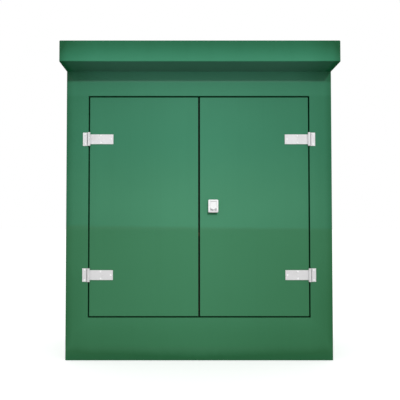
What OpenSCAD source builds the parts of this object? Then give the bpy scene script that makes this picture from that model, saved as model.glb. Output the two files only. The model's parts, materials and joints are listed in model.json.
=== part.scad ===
// Lockable double-door enclosure with a reduced-pressure backflow preventer inside.
// Millimetres, +Z up, front towards -Y, origin at the middle of the base.

/* [Enclosure] */
// Width across the side walls
body_w = 1200; // [1160:10:1400]
// Depth from the front face to the back face
body_d = 600; // [580:10:800]
// Height of the walls up to the underside of the roof
body_h = 1300; // [1270:10:1600]
// Thickness of the moulded walls
wall_t = 6; // [5:0.5:8]
// Outer radius of the upright corners
corner_r = 8; // [6:1:16]
// Width of the flange that turns in under the roof
top_flange_w = 40; // [30:1:50]
// Depth of the front moulding's side returns
frame_return = 70; // [66:1:90]
// Depth of the stiffening ribs on the side walls
rib_d = 14; // [8:1:20]

/* [Base] */
// Width of the flange that stands on the plinth
base_flange_w = 58; // [50:1:60]
// Thickness of the base flange
base_flange_t = 8; // [6:1:14]
// Diameter of the anchor holes
anchor_d = 14; // [10:1:18]
// Distance from a side face to its anchor holes
anchor_inset = 34; // [28:1:38]
// Distance between front and rear anchor holes
anchor_span = 380; // [300:10:420]

/* [Roof] */
// Height of the front fascia
roof_h = 90; // [70:1:140]
// Overhang of the roof in front of the doors
roof_overhang = 150; // [80:5:220]
// Fall of the roof from front to back
roof_fall = 16; // [4:1:30]

/* [Doors] */
// Width of the front beside the door opening
side_margin = 101; // [90:1:130]
// Height of the front above the door opening
head_margin = 112; // [90:1:150]
// Height of the opening's lower edge above the base
opening_z = 190; // [150:1:230]
// Gap between a door and the frame
door_gap = 6.5; // [5:0.5:9]
// Gap between the two doors
meeting_gap = 8; // [6.5:0.5:10]
// Thickness of a door
door_t = 38; // [32:1:46]
// Thickness of the outer door skin
skin_t = 5; // [3:0.5:7]
// Thickness of the inner door liner
liner_t = 5; // [3:0.5:7]
// Height of the raised field on the liner
field_rise = 6; // [3:1:10]
// Thickness of the rubber seal behind the doors
seal_t = 8.6; // [6:0.2:12]
// Width of the stop flange behind the doors
stop_w = 22; // [18:1:28]

/* [Hinges] */
// Height of a hinge's frame leaf and barrel
hinge_h = 60; // [52:1:70]
// Height of a hinge strap
strap_h = 44; // [34:1:48]
// Length of a strap from the pin to its tip
strap_l = 109; // [106:1:140]
// Width of a frame leaf from the pin to its outer edge
leaf_w = 28; // [24:1:40]
// Thickness of the hinge plates
hinge_t = 3; // [2:0.5:4]
// Diameter of the hinge barrel
barrel_d = 13; // [12:0.5:16]
// Diameter of the hinge pin
pin_d = 7; // [5:0.5:8]
// Height of the lower hinge above the opening's lower edge
hinge_low = 190; // [150:1:240]
// Drop of the upper hinge below the opening's upper edge
hinge_high = 197; // [150:1:240]

/* [Lock] */
// Distance of the lock from the door's free edge
lock_inset = 59; // [57:1:80]
// Width of the lock housing
lock_w = 44; // [42:1:56]
// Height of the lock housing
lock_h = 57; // [56:1:76]
// Distance that the lock housing stands proud of the door
lock_proud = 22; // [20:1:28]
// Depth of the recess behind the weather flap
recess_d = 14; // [12:1:16]
// Length of the weather flap from its pin to its pointed end
flap_l = 33; // [30:1:36]
// Diameter of the lock spindle
spindle_d = 14; // [12:0.5:16]
// Module of the pinion and the rods' racks
gear_module = 2.5; // [2:0.25:3]
// Teeth on the pinion
pinion_teeth = 12; // [12:1:14]
// Length of the cam from the spindle to its tip
cam_l = 90; // [86:1:96]
// Width of the flat lock rods
rod_w = 13; // [10:1:16]
// Thickness of the flat lock rods
rod_t = 6; // [4:0.5:8]

/* [Shoot bolts] */
// Diameter of a shoot bolt
bolt_d = 12; // [10:0.5:14]
// Length of a shoot bolt
bolt_l = 150; // [140:5:200]
// Throw of a shoot bolt
bolt_throw = 20; // [12:1:21]

/* [Pipework] */
// Outer diameter of the pipes
pipe_d = 54; // [48:0.5:56]
// Wall thickness of the pipes
pipe_t = 2; // [1.5:0.25:3]
// Height of the valve's centre line above the base
valve_z = 580; // [520:5:700]
// Distance from the back board to the pipes' centre line
pipe_standoff = 120; // [100:5:150]
// Radius of the pipes' bends, on the centre line
bend_r = 65; // [60:1:90]
// Outer diameter of the threaded ends below
end_d = 59.6; // [58:0.1:62]
// Length of the threaded ends below
end_l = 40; // [30:1:60]
// Thickness of the back board
board_t = 18; // [12:1:24]

/* [Valve] */
// Length of the valve body between its unions
valve_l = 260; // [254:2:300]
// Radius of the valve body's barrel
barrel_r = 44; // [43:0.5:48]
// Distance of each check from the middle of the body
check_x = 62; // [61:0.5:66]
// Bore of the check chambers
chamber_r = 40; // [38:0.5:41]
// Lift of each check disc
check_lift = 14; // [8:1:16]
// Travel of the relief piston
relief_travel = 8; // [4:1:10]
// Length of a shut-off valve from its socket end to its union end
shutoff_l = 150; // [146:1:180]
// Radius of the ball in a shut-off valve
ball_r = 36; // [34:0.5:37]
// Length of a shut-off lever from its stem
lever_l = 175; // [120:5:200]

/* [Hidden] */
$fn = 64;
over = 1;
left = -1;
right = 1;
touch_gap = 0.3;
run_gap = 0.05;
grp_green = [0.26, 0.52, 0.38];
liner_grey = [0.80, 0.82, 0.80];
stainless = [0.84, 0.84, 0.86];
zinc = [0.66, 0.68, 0.70];
rubber = [0.08, 0.08, 0.08];
bronze = [0.72, 0.52, 0.28];
copper = [0.75, 0.43, 0.29];
board_tan = [0.72, 0.60, 0.44];

y_front = roof_overhang / 2 - body_d / 2;
y_back = y_front + body_d;
y_roof = y_front - roof_overhang;
y_seam = y_front + frame_return;
y_middle = (y_front + y_back) / 2;
flange_r = 6;
tongue_t = 5;
tongue_lap = 30;
tongue_root = 20;
tongue_end_gap = 5;
rib_front_gap = 10;
rib_back_gap = 40;
rib_w = 70;
rib_slope = 14;
rib_heights = [0.35, 0.7];
board_margin = 150;
board_low = 120;
board_drop = 140;

opening_w = body_w - 2 * side_margin;
opening_h = body_h - opening_z - head_margin;
opening_mid = opening_z + opening_h / 2;
reveal_t = 5;
stop_t = 5;
y_liner = y_front + door_t;
seal_gap = 0.4;
y_stop = y_liner + seal_t + seal_gap;
y_stop_back = y_stop + stop_t;
door_w = (opening_w - 2 * door_gap - meeting_gap) / 2;
door_h = opening_h - 2 * door_gap;
door_edge_t = 4;
seal_w = 12;
seal_inset = 5;
meeting_seal_t = 2.5;
meeting_seal_w = 12;
field_hinge_margin = 45;
field_free_margin = 130;
field_end_margin = 60;
field_r = 25;

hinge_x = opening_w / 2 - door_gap / 2;
barrel_gap = 0.6;
hinge_y = y_front - barrel_d / 2 - barrel_gap;
hinge_z_low = opening_z + hinge_low;
hinge_z_high = opening_z + opening_h - hinge_high;
leaf_clear = 2;
screw_d = 5;
screw_head_d = 9.4;
screw_head_h = 2.8;
screw_clear = 0.1;
strap_screw_near = 53.5;
strap_tip_inset = 9;
strap_edge_inset = 6.25;
strap_screw_far = strap_l - strap_tip_inset;
strap_screw_spread = strap_h - 2 * strap_edge_inset;
leaf_screw_x = (leaf_w + barrel_d / 2) / 2;
leaf_end_inset = 7;
leaf_screw_spread = hinge_h - 2 * leaf_end_inset;

lock_x = meeting_gap / 2 + lock_inset;
lock_z = opening_mid;
lock_corner_r = 4;
lock_border = 8;
lock_lip = 6;
recess_w = lock_w - 2 * lock_border;
recess_top = lock_h / 2 - lock_border;
recess_bottom = lock_lip - lock_h / 2;
flap_side_gap = 0.5;
flap_top_gap = 1;
flap_setback = 0.5;
flap_w = recess_w - 2 * flap_side_gap;
flap_t = 5;
flap_point_h = 7;
flap_knuckle_r = 3;
flap_pin_r = 2;
flap_pin_z = recess_top - flap_knuckle_r - flap_top_gap;
flap_y = y_front - lock_proud + flap_setback;
flap_pin_y = flap_y + flap_knuckle_r;
sleeve_wall = 4;
sleeve_r = spindle_d / 2 + sleeve_wall;
key_square = 8;
key_l = 7;
key_proud = 4;
y_recess = y_front - lock_proud + recess_d;
rod_clear = 1;
y_rod = y_stop_back + rod_clear;
y_rod_back = y_rod + rod_t;
y_cam = y_rod_back + touch_gap;
cam_t = 5;
cam_w = 24;
cam_hub_r = 15;
cam_square = 10;
case_w = 90;
case_h = 104;
case_r = 8;
pressure_angle = 20;
pinion_r = gear_module * pinion_teeth / 2;
rack_pitch = PI * gear_module;
rack_addendum = 0.64 * gear_module;
rack_dedendum = 1.2 * gear_module;
root_clear = 0.2 * gear_module;
gear_backlash = 0.3;
rack_teeth = 7;
rack_below = 5;
rod_tip_clear = 3;
guide_h = 14;
guide_wall = 9;
guide_roof = 3;
guide_near = 140;
guide_end_gap = 79;
guide_far = opening_h / 2 - guide_end_gap;

bolt_inset = 36;
bolt_gap = 0.6;
bolt_x = meeting_gap / 2 + bolt_inset;
bolt_y = y_stop_back + bolt_gap + bolt_d / 2;
bolt_plate_t = 3;
bolt_plate_w = 36;
bolt_plate_l = 120;
bolt_plate_drop = 23;
bridge_w = 24;
bridge_h = 16;
bridge_wall = 5;
bridge_end_gap = 4;
knob_r = 5;
knob_l = 24;
strike_w = 37;
strike_setback = 5;
strike_h = 60;
strike_t = 3;

y_board = y_back - wall_t - board_t;
y_pipe = y_board - pipe_standoff;
pipe_r = pipe_d / 2;
bore_r = pipe_r - pipe_t;
end_z = 5;
riser_x = valve_l / 2 + shutoff_l + bend_r;
socket_depth = 18;
clamp_foot_z = 180;
clamp_drop = 85;
clamp_h = 30;
clamp_wall = 7;
clamp_ear_w = 16;
clamp_ear_t = 12;
clamp_split = 2;
clamp_bolt_r = 4;
clamp_hex_r = 7.2;
clamp_nut_h = 6;
clamp_stem_r = 9;
clamp_foot_r = 32;
clamp_foot_t = 6;

union_end_r = 36;
union_end_l = 18;
end_bore_l = 24;
tail_r = 33;
tail_l = 58;
nut_l = 34;
nut_lap = 14;
nut_r = 50;
chamber_wall = 10;
chamber_floor = 14;
chamber_top = 70;
cover_rim = 18;
cover_flange_r = chamber_r + cover_rim;
cover_t = 12;
cover_spigot = 5;
cover_boss_r = 14;
cover_boss_h = 32;
cover_cone_inset = 6;
cover_cone_r = chamber_r - cover_cone_inset;
cover_cone_lip = 2;
cover_cone_top_r = cover_boss_r + cover_cone_lip;
chamber_foot = 5;
passage_r = 12;
passage_z = 27;
passage_lap = 6;
seat_r = 22;
disc_r = 30;
disc_t = 8;
stem_r = 6;
stem_top = 76;
stem_end_gap = 2;
guide_top = stem_top + check_lift + stem_end_gap;
cover_bolts = 6;
cover_bolt_out = 8;
cover_bolt_pcd = chamber_r + cover_bolt_out;
cover_bolt_r = 5;
cover_bolt_grip = 10;
bolt_end_gap = 2;
hex_r = 9.2;
hex_h = 8;
spring_wire_r = 1.6;
spring_turns = 6;
spring_r = 17;
spring_clear = 0.3;
relief_face = 70;
relief_boss_r = 34;
relief_flange_r = 42;
relief_flange_t = 10;
relief_r = 34;
relief_bore_r = 26;
relief_low = 160;
relief_seat_z = 92;
relief_seat_r = 15;
relief_disc_t = 7;
relief_disc_lap = 6;
relief_disc_r = relief_seat_r + relief_disc_lap;
relief_web_z = relief_seat_z + relief_travel + relief_disc_t + 2 * touch_gap;
relief_web_t = 5;
web_hole_r = 6;
web_hole_pcd = 16;
relief_stem_r = 5;
relief_port_w = 24;
relief_port_h = 26;
relief_port_gap = 1;
relief_port_z = relief_web_z + relief_web_t + relief_port_gap + relief_port_h / 2;
piston_gap = 10;
piston_z = relief_port_z + relief_port_h / 2 + piston_gap + relief_travel;
piston_t = 8;
relief_cover_r = 52;
relief_cover_t = 12;
relief_cup_h = 36;
relief_cup_floor = 6;
relief_bolt_pcd = 43;
relief_bolt_r = 4;
relief_bolts = 6;
relief_hex_r = 7.2;
sense_r = 4;
sense_x = 98;
sense_bend = 20;
sense_drop = 184;
sense_nut_r = 9;
sense_nut_l = 12;
sense_insert = 4;
cock_boss_r = 13;
cock_boss_reach = 56;
cock_neck_r = 7;
cock_neck_h = 6;
cock_hex_r = 11;
cock_hex_h = 16;
cock_nose_r = 6.5;
cock_nose_h = 10;
cock_screw_r = 5;
cock_screw_l = 5;
cock_low_z = -22;
cock_high_z = 32;
shutoff_socket = 60;
shutoff_x = valve_l / 2 + shutoff_l - shutoff_socket;
tail_cock_inset = 8;
tail_cock_x = shutoff_x - tail_l + tail_cock_inset;
tail_boss_r = 9;
tail_boss_h = 4;
shutoff_wall = 10;
shutoff_sphere_r = ball_r + shutoff_wall;
shutoff_hex_r = 42;
shutoff_hex_l = 28;
socket_wall = 7;
tower_r = 15;
tower_h = 60;
gland_r = 15;
gland_h = 6;
valve_stem_r = 8;
valve_stem_h = 70;
lever_square = 10;
stem_proud = 3;
lever_t = 4;
lever_w = 24;
lever_rise = 16;
lever_heel = 16;
lever_flat = 32;
lever_ramp = 30;

// Extrudes an outline drawn in X and Z from y0 to y1
module extrude_y(y0, y1) {
    translate([0, y1, 0]) rotate([90, 0, 0]) linear_extrude(y1 - y0) children();
}

// Extrudes an outline drawn in Y and Z from x0 to x1
module extrude_x(x0, x1) {
    translate([x0, 0, 0]) rotate([90, 0, 90]) linear_extrude(x1 - x0) children();
}

// Round bar along Y
module bar_y(r, y0, y1) {
    translate([0, y1, 0]) rotate([90, 0, 0]) cylinder(r = r, h = y1 - y0);
}

// Round bar along X
module bar_x(r, x0, x1) {
    translate([x0, 0, 0]) rotate([0, 90, 0]) cylinder(r = r, h = x1 - x0);
}

// Round bar along Z
module bar_z(r, z0, z1) {
    translate([0, 0, z0]) cylinder(r = r, h = z1 - z0);
}

// Rectangle with round corners, its lower left corner at the origin
module rounded_rect(w, h, r) {
    translate([r, 0]) square([w - 2 * r, h]);
    translate([0, r]) square([w, h - 2 * r]);
    for (x = [r, w - r], y = [r, h - r]) translate([x, y]) circle(r);
}

// The same, centred
module rounded_rect_centred(w, h, r) {
    translate([-w / 2, -h / 2]) rounded_rect(w, h, r);
}

// Puts a shape that is drawn for the right-hand side on either side
module on_side(side) {
    if (side < 0) mirror([1, 0, 0]) children();
    else children();
}

// Turns a shape that is drawn above a height upside down about it
module flip_about(z) {
    translate([0, 0, z]) mirror([0, 0, 1]) translate([0, 0, -z]) children();
}

// Plan outline of the enclosure, moved in from the outer faces
module plan(inset, r) {
    translate([-body_w / 2 + inset, y_front + inset])
        rounded_rect(body_w - 2 * inset, body_d - 2 * inset, r);
}

// Rectangle of the door opening, grown on every edge
module opening_outline(grow) {
    translate([0, opening_mid]) square([opening_w + 2 * grow, opening_h + 2 * grow], center = true);
}

// The four moulded walls with their base and roof flanges
module shell() {
    difference() {
        linear_extrude(body_h) plan(0, corner_r);
        translate([0, 0, base_flange_t])
            linear_extrude(body_h - base_flange_t - wall_t) plan(wall_t, max(corner_r - wall_t, 1));
        translate([0, 0, -over]) linear_extrude(base_flange_t + 2 * over) plan(base_flange_w, flange_r);
        translate([0, 0, body_h - wall_t - over])
            linear_extrude(wall_t + 2 * over) plan(top_flange_w, flange_r);
    }
}

// Space in front of the seam, where the front moulding ends
module front_half() {
    translate([-body_w / 2 - over, y_front - over, -over])
        cube([body_w + 2 * over, frame_return + over, body_h + 2 * over]);
}

// Flat-topped stiffening rib on the inside of the right-hand wall
module side_rib(z) {
    x = body_w / 2 - wall_t;
    translate([0, 0, z]) extrude_y(y_seam + tongue_lap + rib_front_gap, y_back - wall_t - rib_back_gap)
        polygon([[x, -rib_w / 2], [x, rib_w / 2], [x - rib_d, rib_w / 2 - rib_slope],
            [x - rib_d, rib_slope - rib_w / 2]]);
}

// Side and back walls in one moulding
module body_shell() {
    color(grp_green) difference() {
        union() {
            difference() {
                shell();
                front_half();
            }
            for (side = [left, right], share = rib_heights)
                on_side(side) side_rib(body_h * share);
        }
        for (side = [left, right], end = [-1, 1])
            translate([side * (body_w / 2 - anchor_inset), y_middle + end * anchor_span / 2, -over])
                cylinder(d = anchor_d, h = base_flange_t + 2 * over);
    }
}

// Shank holes for the screws of one frame leaf
module leaf_screw_holes(z, depth) {
    for (end = [-1, 1])
        translate([hinge_x + leaf_screw_x, 0, z + end * leaf_screw_spread / 2])
            bar_y(screw_d / 2 + screw_clear, y_front - hinge_t - over, y_front + depth);
}

// Tongue that laps the right-hand wall from inside, grown into the front moulding's return
module lap_tongue() {
    x = body_w / 2 - wall_t - tongue_t;
    z = base_flange_t + tongue_end_gap;
    h = body_h - wall_t - tongue_end_gap - z;
    translate([x, y_seam - tongue_root, z]) cube([tongue_t, tongue_root + tongue_lap, h]);
    translate([x, y_seam - tongue_root, z]) cube([tongue_t + wall_t / 2, tongue_root, h]);
}

// Front moulding: face, door reveal, door stop and the tongues that lap the side walls
module front_frame() {
    color(grp_green) difference() {
        union() {
            difference() {
                intersection() {
                    shell();
                    front_half();
                }
                extrude_y(y_front - over, y_front + wall_t + over) opening_outline(0);
            }
            extrude_y(y_front, y_stop_back) difference() {
                opening_outline(reveal_t);
                opening_outline(0);
            }
            extrude_y(y_stop, y_stop_back) difference() {
                opening_outline(reveal_t);
                opening_outline(-stop_w);
            }
            for (side = [left, right]) on_side(side) lap_tongue();
        }
        for (side = [left, right], z = [hinge_z_low, hinge_z_high])
            on_side(side) leaf_screw_holes(z, wall_t + over);
    }
}

// Roof moulding: a tray turned over, with a deep fascia and a fall to the back
module roof_cap() {
    top = body_h + roof_h;
    plan_d = body_d + roof_overhang;
    color(grp_green) difference() {
        intersection() {
            extrude_x(-body_w / 2, body_w / 2)
                polygon([[y_roof, body_h], [y_roof, top], [y_back, top - roof_fall], [y_back, body_h]]);
            translate([-body_w / 2, y_roof, body_h]) linear_extrude(roof_h)
                rounded_rect(body_w, plan_d, corner_r);
        }
        extrude_x(wall_t - body_w / 2, body_w / 2 - wall_t)
            polygon([[y_roof + wall_t, body_h - over], [y_roof + wall_t, top - wall_t],
                [y_back - wall_t, top - roof_fall - wall_t], [y_back - wall_t, body_h - over]]);
    }
}

// Flat panel that closes the roof from below and makes the soffit over the doors
module roof_liner() {
    edge = wall_t + touch_gap;
    color(grp_green) translate([edge - body_w / 2, y_roof + edge, body_h])
        cube([body_w - 2 * edge, body_d + roof_overhang - 2 * edge, wall_t]);
}

// Board on the back wall that carries the pipe clamps
module back_board() {
    w = body_w - 2 * board_margin;
    color(board_tan) translate([-w / 2, y_board, board_low])
        cube([w, board_t, body_h - board_low - board_drop]);
}

// Rubber seal on the front of the door stop
module door_seal() {
    color(rubber) extrude_y(y_stop - seal_t, y_stop) difference() {
        opening_outline(-seal_inset);
        opening_outline(-seal_inset - seal_w);
    }
}

// Front outline of the right-hand door
module door_outline(inset) {
    translate([meeting_gap / 2 + inset, opening_z + door_gap + inset])
        square([door_w - 2 * inset, door_h - 2 * inset]);
}

// Shank holes for the screws of one strap
module strap_screw_holes(z, depth) {
    for (place = strap_screws())
        translate([hinge_x - place[0], 0, z + place[1]])
            bar_y(screw_d / 2 + screw_clear, y_front - hinge_t - over, y_front + depth);
}

// Screw places on a strap, from the hinge pin and from the strap's middle
function strap_screws() = [
    [strap_screw_near, -strap_screw_spread / 2],
    [strap_screw_near, strap_screw_spread / 2],
    [strap_screw_far, 0]
];

// Hole for the lock's sleeve
module lock_hole(y0, y1) {
    translate([lock_x, 0, lock_z]) bar_y(sleeve_r + touch_gap, y0, y1);
}

// Outer skin of a door: a shallow tray
module door_skin(side) {
    color(grp_green) on_side(side) difference() {
        extrude_y(y_front, y_liner - liner_t) door_outline(0);
        extrude_y(y_front + skin_t, y_liner) door_outline(door_edge_t);
        for (z = [hinge_z_low, hinge_z_high]) strap_screw_holes(z, skin_t + over);
        if (side == right) lock_hole(y_front - over, y_front + skin_t + over);
    }
}

// Inner liner of a door with its raised field
module door_liner(side) {
    field_w = door_w - field_hinge_margin - field_free_margin;
    color(liner_grey) on_side(side) difference() {
        union() {
            extrude_y(y_liner - liner_t, y_liner) door_outline(0);
            translate([meeting_gap / 2 + field_free_margin, 0, opening_z + door_gap + field_end_margin])
                extrude_y(y_liner - over, y_liner + field_rise)
                    rounded_rect(field_w, door_h - 2 * field_end_margin, field_r);
        }
        translate([meeting_gap / 2 + field_free_margin, 0, opening_z + door_gap + field_end_margin])
            extrude_y(y_liner - liner_t - over, y_liner + field_rise - liner_t)
                translate([liner_t, liner_t])
                    rounded_rect(field_w - 2 * liner_t, door_h - 2 * (field_end_margin + liner_t),
                        field_r - liner_t);
        if (side == right) lock_hole(y_liner - liner_t - over, y_liner + over);
    }
}

// Rubber strip on a door's free edge
module meeting_seal(side) {
    color(rubber) on_side(side)
        translate([meeting_gap / 2 - meeting_seal_t, y_front + door_t / 2 - meeting_seal_w / 2,
            opening_z + door_gap])
            cube([meeting_seal_t, meeting_seal_w, door_h]);
}

// One length of hinge barrel
module hinge_knuckle(z0, z1) {
    translate([hinge_x, hinge_y, 0]) bar_z(barrel_d / 2, z0, z1);
}

// Hole for the hinge pin
module hinge_bore(z) {
    reach = hinge_h / 2 + over;
    translate([hinge_x, hinge_y, 0]) bar_z(pin_d / 2 + run_gap, z - reach, z + reach);
}

// Leaf on the frame: a plate with a knuckle at each end of the barrel
module frame_leaf(z) {
    plate_x = barrel_d / 2 + leaf_clear;
    knuckle_l = (hinge_h - strap_h) / 2 - touch_gap;
    difference() {
        union() {
            translate([hinge_x + plate_x, y_front - hinge_t, z - hinge_h / 2])
                cube([leaf_w - plate_x, hinge_t, hinge_h]);
            for (z0 = [z - hinge_h / 2, z + hinge_h / 2 - knuckle_l]) {
                hinge_knuckle(z0, z0 + knuckle_l);
                translate([hinge_x, y_front - hinge_t, z0]) cube([plate_x + over, hinge_t, knuckle_l]);
            }
        }
        hinge_bore(z);
        leaf_screw_holes(z, over);
    }
}

// Both leaves on one side of the frame
module frame_leaves(side) {
    color(stainless) on_side(side) for (z = [hinge_z_low, hinge_z_high]) frame_leaf(z);
}

// Strap on the door with the middle knuckle
module hinge_strap(side, z) {
    color(stainless) on_side(side) difference() {
        union() {
            translate([hinge_x - strap_l, y_front - hinge_t, z - strap_h / 2])
                cube([strap_l, hinge_t, strap_h]);
            hinge_knuckle(z - strap_h / 2, z + strap_h / 2);
        }
        hinge_bore(z);
        strap_screw_holes(z, over);
    }
}

// Pins of all four hinges
module hinge_pins() {
    color(zinc) for (side = [left, right], z = [hinge_z_low, hinge_z_high])
        on_side(side) translate([hinge_x, hinge_y, 0]) bar_z(pin_d / 2, z - hinge_h / 2, z + hinge_h / 2);
}

// Domed screw with its shank towards +Y, its head seated at y0
module dome_screw(y0, grip) {
    translate([0, y0, 0]) rotate([90, 0, 0])
        cylinder(d1 = screw_head_d, d2 = 0.7 * screw_head_d, h = screw_head_h);
    bar_y(screw_d / 2, y0 - over, y0 + grip);
}

// Screws that hold the frame leaves
module frame_hinge_screws() {
    color(stainless) for (side = [left, right], z = [hinge_z_low, hinge_z_high], end = [-1, 1])
        on_side(side) translate([hinge_x + leaf_screw_x, 0, z + end * leaf_screw_spread / 2])
            dome_screw(y_front - hinge_t, hinge_t + wall_t);
}

// Screws that hold the straps of one door
module strap_screw_set(side) {
    color(stainless) for (z = [hinge_z_low, hinge_z_high], place = strap_screws())
        on_side(side) translate([hinge_x - place[0], 0, z + place[1]])
            dome_screw(y_front - hinge_t, hinge_t + skin_t);
}

// Moves a shape that is drawn round the lock's axis to the lock
module at_lock() {
    translate([lock_x, 0, lock_z]) children();
}

// Lock housing on the door's face, with the recess for the flap and the sleeve through the door
module lock_housing() {
    color(stainless) at_lock() difference() {
        union() {
            extrude_y(y_front - lock_proud, y_front)
                rounded_rect_centred(lock_w, lock_h, lock_corner_r);
            bar_y(sleeve_r, y_front - over, y_liner);
        }
        extrude_y(y_front - lock_proud - over, y_recess)
            translate([-recess_w / 2, recess_bottom]) square([recess_w, recess_top - recess_bottom]);
        bar_y(spindle_d / 2 + run_gap, y_front - lock_proud, y_liner + over);
        translate([0, flap_pin_y, flap_pin_z])
            bar_x(flap_pin_r + run_gap, -recess_w / 2 - lock_border / 2, recess_w / 2 + lock_border / 2);
    }
}

// Weather flap over the key, pointed at its lower end
module lock_flap() {
    shoulder = flap_pin_z - flap_l + flap_point_h;
    color(stainless) at_lock() difference() {
        union() {
            extrude_y(flap_y, flap_y + flap_t)
                polygon([[-flap_w / 2, flap_pin_z], [-flap_w / 2, shoulder], [0, flap_pin_z - flap_l],
                    [flap_w / 2, shoulder], [flap_w / 2, flap_pin_z]]);
            translate([0, flap_pin_y, flap_pin_z]) bar_x(flap_knuckle_r, -flap_w / 2, flap_w / 2);
        }
        translate([0, flap_pin_y, flap_pin_z])
            bar_x(flap_pin_r + run_gap, -flap_w / 2 - over, flap_w / 2 + over);
    }
}

// Pin that the flap turns on
module flap_pin() {
    color(zinc) at_lock() translate([0, flap_pin_y, flap_pin_z])
        bar_x(flap_pin_r, -recess_w / 2 - lock_border / 2, recess_w / 2 + lock_border / 2);
}

// Involute angle in degrees
function involute(angle) = tan(angle) * 180 / PI - angle;

// Half the angle that a pinion tooth takes up at a radius
function tooth_half_angle(r, base) =
    90 / pinion_teeth - gear_backlash / pinion_r * 90 / PI + involute(pressure_angle)
    - involute(acos(min(1, base / r)));

// Outline of the pinion, one involute flank at a time
function pinion_points() = let (
    base = pinion_r * cos(pressure_angle),
    tip = pinion_r + gear_module,
    root = pinion_r - rack_addendum - root_clear,
    steps = 5,
    radii = concat([root], [for (i = [0:steps]) base + (tip - base) * i / steps])
) [
    for (tooth = [0:pinion_teeth - 1], flank = [-1, 1], i = [0:len(radii) - 1])
        let (
            r = radii[flank < 0 ? i : len(radii) - 1 - i],
            a = 360 * tooth / pinion_teeth + flank * tooth_half_angle(max(r, base), base)
        ) [r * cos(a), r * sin(a)]
];

// Spindle with its key square, its pinion and the square for the cam
module lock_spindle() {
    color(zinc) at_lock() {
        translate([-key_square / 2, y_recess - key_proud, -key_square / 2])
            cube([key_square, key_l + over, key_square]);
        bar_y(spindle_d / 2, y_recess - key_proud + key_l, y_cam);
        extrude_y(y_rod, y_rod_back) polygon(pinion_points());
        translate([-cam_square / 2, y_cam - over, -cam_square / 2])
            cube([cam_square, cam_t + 2 * over, cam_square]);
    }
}

// Cam that turns behind the other door
module lock_cam() {
    color(zinc) at_lock() difference() {
        extrude_y(y_cam, y_cam + cam_t) {
            circle(cam_hub_r);
            translate([-cam_w / 2, cam_w / 2 - cam_l]) square([cam_w, cam_l - cam_w / 2]);
            translate([0, cam_w / 2 - cam_l]) circle(cam_w / 2);
        }
        hole = cam_square + 4 * run_gap;
        translate([-hole / 2, y_cam - over, -hole / 2]) cube([hole, cam_t + 2 * over, hole]);
    }
}

// Cast block on the liner that carries the spindle and the rods
module lock_case() {
    color(zinc) at_lock() difference() {
        extrude_y(y_liner, y_rod - touch_gap) rounded_rect_centred(case_w, case_h, case_r);
        bar_y(spindle_d / 2 + run_gap, y_liner - over, y_rod + over);
    }
}

// One rack tooth on a pitch line along Z, pointing towards +X
module rack_tooth(z) {
    tip = rack_pitch / 4 - rack_addendum * tan(pressure_angle);
    root = rack_pitch / 4 + rack_dedendum * tan(pressure_angle);
    translate([0, z]) polygon([[-rack_dedendum - over, -root], [-rack_dedendum, -root], [rack_addendum, -tip],
        [rack_addendum, tip], [-rack_dedendum, root], [-rack_dedendum - over, root]]);
}

// Lock rod about the lock's axis: a flat bar with a rack beside the pinion and a tapered tip
module lock_rod() {
    low = -rack_below * rack_pitch;
    tip = opening_h / 2 - stop_w - rod_tip_clear;
    outer = -rack_dedendum - rod_w;
    taper = rod_w / 4;
    translate([-pinion_r, 0, 0]) extrude_y(y_rod, y_rod_back) {
        polygon([[outer, low], [-rack_dedendum, low], [-rack_dedendum, tip - 2 * taper],
            [-rack_dedendum - taper, tip], [outer + taper, tip], [outer, tip - 2 * taper]]);
        for (tooth = [0:rack_teeth - 1]) rack_tooth(low + (tooth + 0.5) * rack_pitch);
    }
}

// Rod that locks behind the door stop above
module upper_lock_rod() {
    color(zinc) at_lock() lock_rod();
}

// Rod that locks behind the door stop below, half a turn round the spindle from the upper one
module lower_lock_rod() {
    color(zinc) at_lock() rotate([0, 180, 0]) lock_rod();
}

// Staples that hold the lock rods to the liner
module rod_guides() {
    rod_mid = pinion_r + rack_dedendum + rod_w / 2;
    slot_w = rod_w + 2 * touch_gap;
    color(zinc) at_lock() for (end = [1, -1], reach = [guide_near, guide_far])
        translate([-end * rod_mid, 0, end * reach - guide_h / 2]) difference() {
            translate([-slot_w / 2 - guide_wall, y_liner, 0])
                cube([slot_w + 2 * guide_wall, y_rod_back + touch_gap + guide_roof - y_liner, guide_h]);
            translate([-slot_w / 2, y_rod - touch_gap, -over])
                cube([slot_w, rod_t + 2 * touch_gap, guide_h + 2 * over]);
        }
}

// Upper shoot bolt of the left-hand door, drawn withdrawn
module upper_bolt_shape() {
    tip = opening_z + opening_h - stop_w - rod_tip_clear;
    knob_z = tip - bolt_plate_drop - bolt_plate_l / 2 - bolt_throw / 2;
    translate([-bolt_x, bolt_y, 0]) {
        bar_z(bolt_d / 2, tip - bolt_l, tip - bolt_d / 4);
        translate([0, 0, tip - bolt_d / 4]) cylinder(d1 = bolt_d, d2 = bolt_d / 2, h = bolt_d / 4);
        translate([0, 0, knob_z]) bar_y(knob_r, 0, knob_l);
    }
}

// Shoot bolt at the head of the left-hand door
module upper_shoot_bolt() {
    color(stainless) upper_bolt_shape();
}

// Shoot bolt at the foot of the left-hand door
module lower_shoot_bolt() {
    color(stainless) flip_about(opening_mid) upper_bolt_shape();
}

// Plate with two bridges that guides a shoot bolt
module bolt_housing() {
    top = opening_z + opening_h - stop_w - rod_tip_clear - bolt_plate_drop;
    back = bolt_y + bolt_d / 2 + bridge_wall;
    translate([-bolt_x, 0, 0]) difference() {
        union() {
            translate([-bolt_plate_w / 2, y_liner, top - bolt_plate_l])
                cube([bolt_plate_w, bolt_plate_t, bolt_plate_l]);
            for (z = [top - bolt_plate_l + bridge_end_gap, top - bridge_h - bridge_end_gap])
                translate([-bridge_w / 2, y_liner, z]) cube([bridge_w, back - y_liner, bridge_h]);
        }
        translate([0, bolt_y, 0]) bar_z(bolt_d / 2 + run_gap, top - bolt_plate_l - over, top + over);
    }
}

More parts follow.
